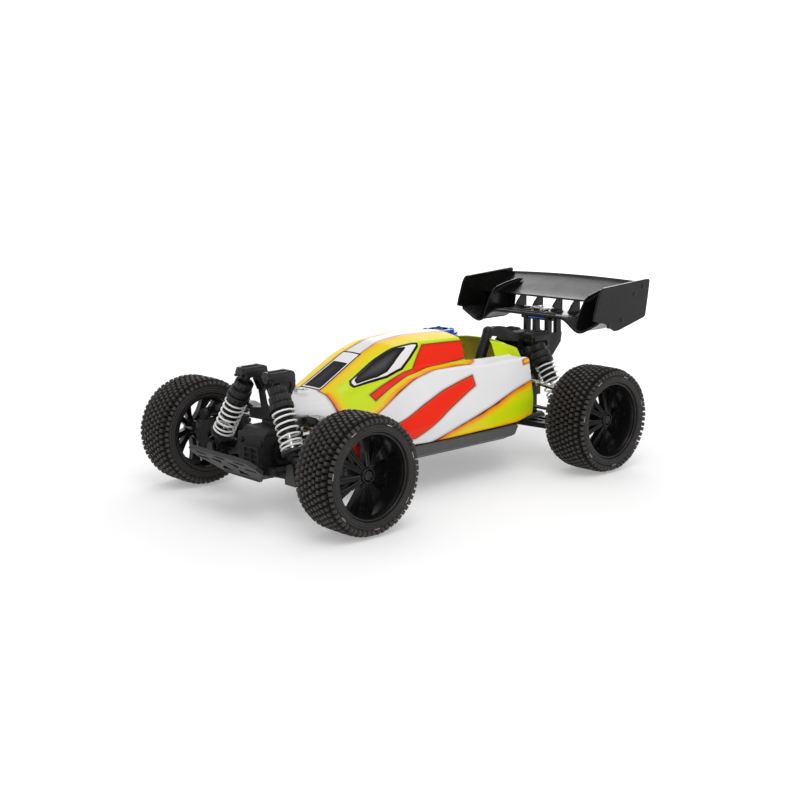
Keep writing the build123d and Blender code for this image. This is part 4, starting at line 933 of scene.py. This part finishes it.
# rise from the plane to the blade at both ends
for s in (1, -1):
    rows = []
    for k in range(9):
        t = k / 8
        y, z0 = 189 + 4 * t, 0
        rows.append([(s * x, 189.0 + 2.0 * t, (1 - t) * wing_low(x) + t * 137.2) for x in (45, 50, 56, 62, 70, 78, 84)])
    strip(W, rows, 1.5)
wing = W.obj("wing_planes", [GLOSS], bevel=0.35, seg=2)
E = Mesh()
for s in (1, -1):
    outline = [(150.5, 124.5), (152.5, 132), (158, 147), (161, 151.2), (163, 152.3), (172, 152.8), (222.5, 155.8), (225.6, 155.6),
               (226.7, 154), (224.5, 140), (221.4, 123.6), (219.6, 121.8), (200, 117), (184, 113.3), (179, 113), (173, 116),
               (167, 120.5), (160, 122)]
    E.prism([(s * 85, y, z) for y, z in outline], (-s * 2.0, 0, 0), None)
    # thickened rear and top lip
    E.prism([(s * 83.2, y, z) for y, z in ((163, 152.3), (224, 155.7), (226.4, 154.2), (225.6, 152.8), (223.2, 153.9), (163.6, 150.6))],
            (-s * 1.2, 0, 0), None)
    # inner fin, pointed forward
    fin = [(158, 113.2), (160.5, 121), (166, 132), (171, 139.5), (176, 142.6), (190, 146.2), (205, 148.5), (213, 147.5),
           (203, 140.8), (194, 137.2), (189.5, 135.4), (187.5, 128), (187, 113.4)]
    E.prism([(s * 57.6, y, z) for y, z in fin], (-s * 1.5, 0, 0), None)
    E.prism([(s * 58.6, y, z) for y, z in ((171, 137.5), (190, 144.2), (206, 147), (208, 145.2), (192, 142), (174, 135.6))],
            (-s * 3.4, 0, 0), None)
    for x in (12, 33):
        E.prism([(s * (x - 1.3), y, z) for y, z in ((176, 124.6), (181, 131.6), (186, 136.2), (191.4, 137), (191.4, 124.6))],
                (s * 2.6, 0, 0), None)
    # bolts on the end plate
    for y, z in ((170, 118.6), (188, 122.2), (205, 143.6), (217, 150.0)):
        E.lathe((s * 84.7, y, z), (s, 0, 0), [(0, 2.4), (0.6, 2.4), (1.0, 2.0), (1.05, 0.01)], n=20)
wend = E.obj("wing_plates", [GLOSS], bevel=0.3, seg=2)
B = Mesh()
for x, y in ((-20, 164), (20, 164), (-20, 180), (20, 180)):
    B.lathe((x, y, 124.9), (0, 0, 1), [(0, 3.2), (0.8, 3.2), (1.4, 2.6), (1.5, 1.2), (0.7, 1.0), (0.7, 0.01)], n=24)
# raised pad and ribs on the wing's middle
for x in (-26, -8.5, 8.5, 26):
    B.box((x, 168, 125.4), (1.2, 18, 1.6))
B.box((0, 160.2, 125.2), (64, 1.4, 1.5))
wpad = B.obj("wing_fixings", [GLOSS], bevel=0.2, seg=1)
Q = Mesh()
Q.lathe((-12.0, 171.8, 118.5), (1, 0, 0), [(0, 0.01), (0, 1.6), (0.4, 2.0), (23.6, 2.0), (24.0, 1.6), (24.0, 0.01)], n=24)
cross = auto_smooth(Q.obj("wing_mount_rod", [BLUE]), 40)
for ob in (wing, wend, wpad, cross):
    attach(ob, "car")
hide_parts("wing")

# ------------------------------------------------------------------ front and rear towers with hooded shock mounts
def tower_dress(y_face, far, fwd, name):
    """Faceted caps over the shock tops, with screws. far: the hood's front plane."""
    M = Mesh()
    for s in (1, -1):
        ye = far - 0.8
        for pts in (((10.0, 105.2), (12.2, 109.2), (22.6, 109.2), (24.8, 105.2)),):
            a = [(s * x, ye, z) for x, z in pts]
            b = [(s * x, y_face + 1.0, z) for x, z in pts]
            c = [(s * (x + (2.0 if x < 17 else -2.0)), ye - 1.6, z - 1.2) for x, z in pts]
            c = [(p[0], p[1], max(p[2], 104.6)) for p in c]
            M.add(a + b + c, [(0, 1, 5, 4), (1, 2, 6, 5), (2, 3, 7, 6), (4, 5, 6, 7), (0, 8, 9, 1), (1, 9, 10, 2), (2, 10, 11, 3),
                              (8, 11, 10, 9), (0, 3, 11, 8), (0, 4, 7, 3)], 0, False)
        # raised rib along the cap and one across it
        M.box((s * 17.4, (far + y_face) / 2, 109.5), (3.0, abs(far - y_face) - 2.0, 1.6))
        M.box((s * 17.4, y_face + 0.6, 108.4), (11.0, 3.0, 2.6))
        # screw heads
        for x, z, r in ((17, 104, 3.3), (22.9, 103.0, 1.2)):
            M.lathe((s * x, far - 1.2, z), (0, fwd, 0), [(0, r), (0.9, r), (1.3, r * 0.75), (1.3, r * 0.45), (0.7, r * 0.4), (0.7, 0.01)],
                    n=20)
        # webs down both edges of the tower plate
        M.prism([(s * 24.3, y_face - 1.2, 97.5), (s * 24.3, y_face - 1.2, 101.8), (s * 24.3, y_face + 4.8, 101.8),
                 (s * 18.9, y_face + 4.8, 90.0), (s * 18.9, y_face - 1.2, 90.0)], (-s * 1.6, 0, 0), None)
    ob = M.obj(name, [NYLON], bevel=0.6, seg=2, angle=30)
    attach(ob, "car")
    return ob


tower_dress(-131.0, -147.4, -1, "front_tower_hoods")
tower_dress(158.0, 141.6, -1, "rear_tower_hoods")

# ------------------------------------------------------------------ small parts: front case screws and ribs, cooling head top
D = Mesh()
# cubic Bezier points from four control points
def bez(p0, p1, p2, p3, n=24):
    return [tuple(Vector(p0) * (1 - t) ** 3 + Vector(p1) * 3 * t * (1 - t) ** 2 + Vector(p2) * 3 * t * t * (1 - t) + Vector(p3) * t ** 3)
            for t in [i / n for i in range(n + 1)]]


# gearbox screws and case ribs at the front
for x in (-12.5, 12.5):
    for z in (36, 54):
        D.lathe((x, -153.2, z), (0, -1, 0), [(0, 2.2), (0.9, 2.2), (1.3, 1.7), (1.3, 1.0), (0.6, 0.9), (0.6, 0.01)], n=18)
for z in (40.5, 45, 49.5):
    D.box((0, -153.3, z), (20, 1.0, 1.3))
for s in (1, -1):
    for y in (-160.5,):
        D.lathe((s * 14, y, 31.3), (0, 0, 1), [(0, 2.4), (1.0, 2.4), (1.4, 1.8), (1.4, 0.01)], n=18)
small = D.obj("front_case_screws", [NYLON], bevel=0.15, seg=1)
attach(small, "car")

H = Mesh()
H.lathe((-17, 62, 117.5), (0, 0, 1), [(0, 13.9), (0.35, 13.6), (0.4, 9.5), (0.1, 9.2), (0.1, 3.6)], n=60)
for k in range(4):
    a = math.radians(45 + 90 * k)
    H.lathe((-17 + 11.4 * math.cos(a), 62 + 11.4 * math.sin(a), 117.5), (0, 0, 1),
            [(0, 1.7), (0.9, 1.7), (1.1, 1.4), (1.1, 0.8), (0.3, 0.7), (0.3, 0.01)], n=16)
head = H.obj("cooling_head_top", [BLUE], bevel=0, seg=1)
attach(head, "car")

# ------------------------------------------------------------------ stage
bpy.ops.mesh.primitive_plane_add(size=80, location=(0, 0, 0))
floor = bpy.context.object
floor.name = "floor"


def pale(name, base, glow):
    fm = bpy.data.materials.new(name)
    fm.use_nodes = True
    b = fm.node_tree.nodes["Principled BSDF"]
    b.inputs["Base Color"].default_value = (base, base, base, 1)
    b.inputs["Roughness"].default_value = 0.75
    b.inputs["Specular IOR Level"].default_value = 0.15
    b.inputs["Emission Color"].default_value = (1, 1, 1, 1)
    b.inputs["Emission Strength"].default_value = glow[0]
    if glow[1] > glow[0]:
        nt = fm.node_tree
        tc = nt.nodes.new("ShaderNodeTexCoord")
        ln = nt.nodes.new("ShaderNodeVectorMath")
        ln.operation = "LENGTH"
        mr = nt.nodes.new("ShaderNodeMapRange")
        mr.interpolation_type = "SMOOTHSTEP"
        mr.inputs["From Min"].default_value = 0.35
        mr.inputs["From Max"].default_value = 1.6
        mr.inputs["To Min"].default_value = glow[0]
        mr.inputs["To Max"].default_value = glow[1]
        nt.links.new(tc.outputs["Object"], ln.inputs[0])
        nt.links.new(ln.outputs["Value"], mr.inputs["Value"])
        nt.links.new(mr.outputs[0], b.inputs["Emission Strength"])
    return fm


floor.data.materials.append(pale("floor", 0.72, (0.30, 0.80)))
wall = bpy.data.objects.new("backdrop", bpy.data.meshes.new("backdrop"))
wall.data.from_pydata([(-30, -14, 0), (-30, 30, 0), (14, 30, 0), (14, 30, 14), (-30, 30, 14), (-30, -14, 14)], [],
                      [(0, 1, 4, 5), (1, 2, 3, 4)])
wall.data.materials.append(pale("backdrop", 0.8, (1.0, 1.0)))
bpy.context.scene.collection.objects.link(wall)

world = bpy.data.worlds.new("studio")
bpy.context.scene.world = world
world.use_nodes = True
bg = world.node_tree.nodes["Background"]
bg.inputs[0].default_value = (1, 1, 1, 1)
bg.inputs[1].default_value = 0.50


def area(name, loc, target, size, power, size_y=None):
    ld = bpy.data.lights.new(name, "AREA")
    ld.energy = power
    ld.size = size
    if size_y:
        ld.shape = "RECTANGLE"
        ld.size_y = size_y
    ob = bpy.data.objects.new(name, ld)
    bpy.context.scene.collection.objects.link(ob)
    ob.location = loc
    ob.rotation_euler = (Vector(target) - Vector(loc)).to_track_quat("-Z", "Y").to_euler()
    return ob


area("key", (0.9, -0.5, 1.5), (0, 0, 0.05), 1.1, 11)
area("left_fill", (1.3, -1.0, 0.5), (0, 0, 0.06), 0.8, 2.5)
area("back_rim", (-0.9, 1.0, 0.9), (0, 0, 0.08), 0.9, 5)
area("top", (-0.1, 0.1, 1.6), (0, 0, 0), 1.4, 4)

# ------------------------------------------------------------------ camera
loc = Vector((0.81243, -0.72041 + YM * 0.001, 0.27917))
tgt = Vector((0.001076, YM * 0.001, 0.06532))
roll = math.radians(-0.777)
fwd = (tgt - loc).normalized()
right = fwd.cross(Vector((0, 0, 1))).normalized()
up = right.cross(fwd)
r2 = right * math.cos(roll) + up * math.sin(roll)
u2 = up * math.cos(roll) - right * math.sin(roll)
cd = bpy.data.cameras.new("photo_view")
cd.lens = 59.04
cd.sensor_width = 36
cam = bpy.data.objects.new("photo_view", cd)
bpy.context.scene.collection.objects.link(cam)
cam.matrix_world = Matrix(((r2.x, u2.x, -fwd.x, loc.x), (r2.y, u2.y, -fwd.y, loc.y), (r2.z, u2.z, -fwd.z, loc.z), (0, 0, 0, 1)))
bpy.context.scene.camera = cam
bpy.context.scene.view_settings.view_transform = "Standard"
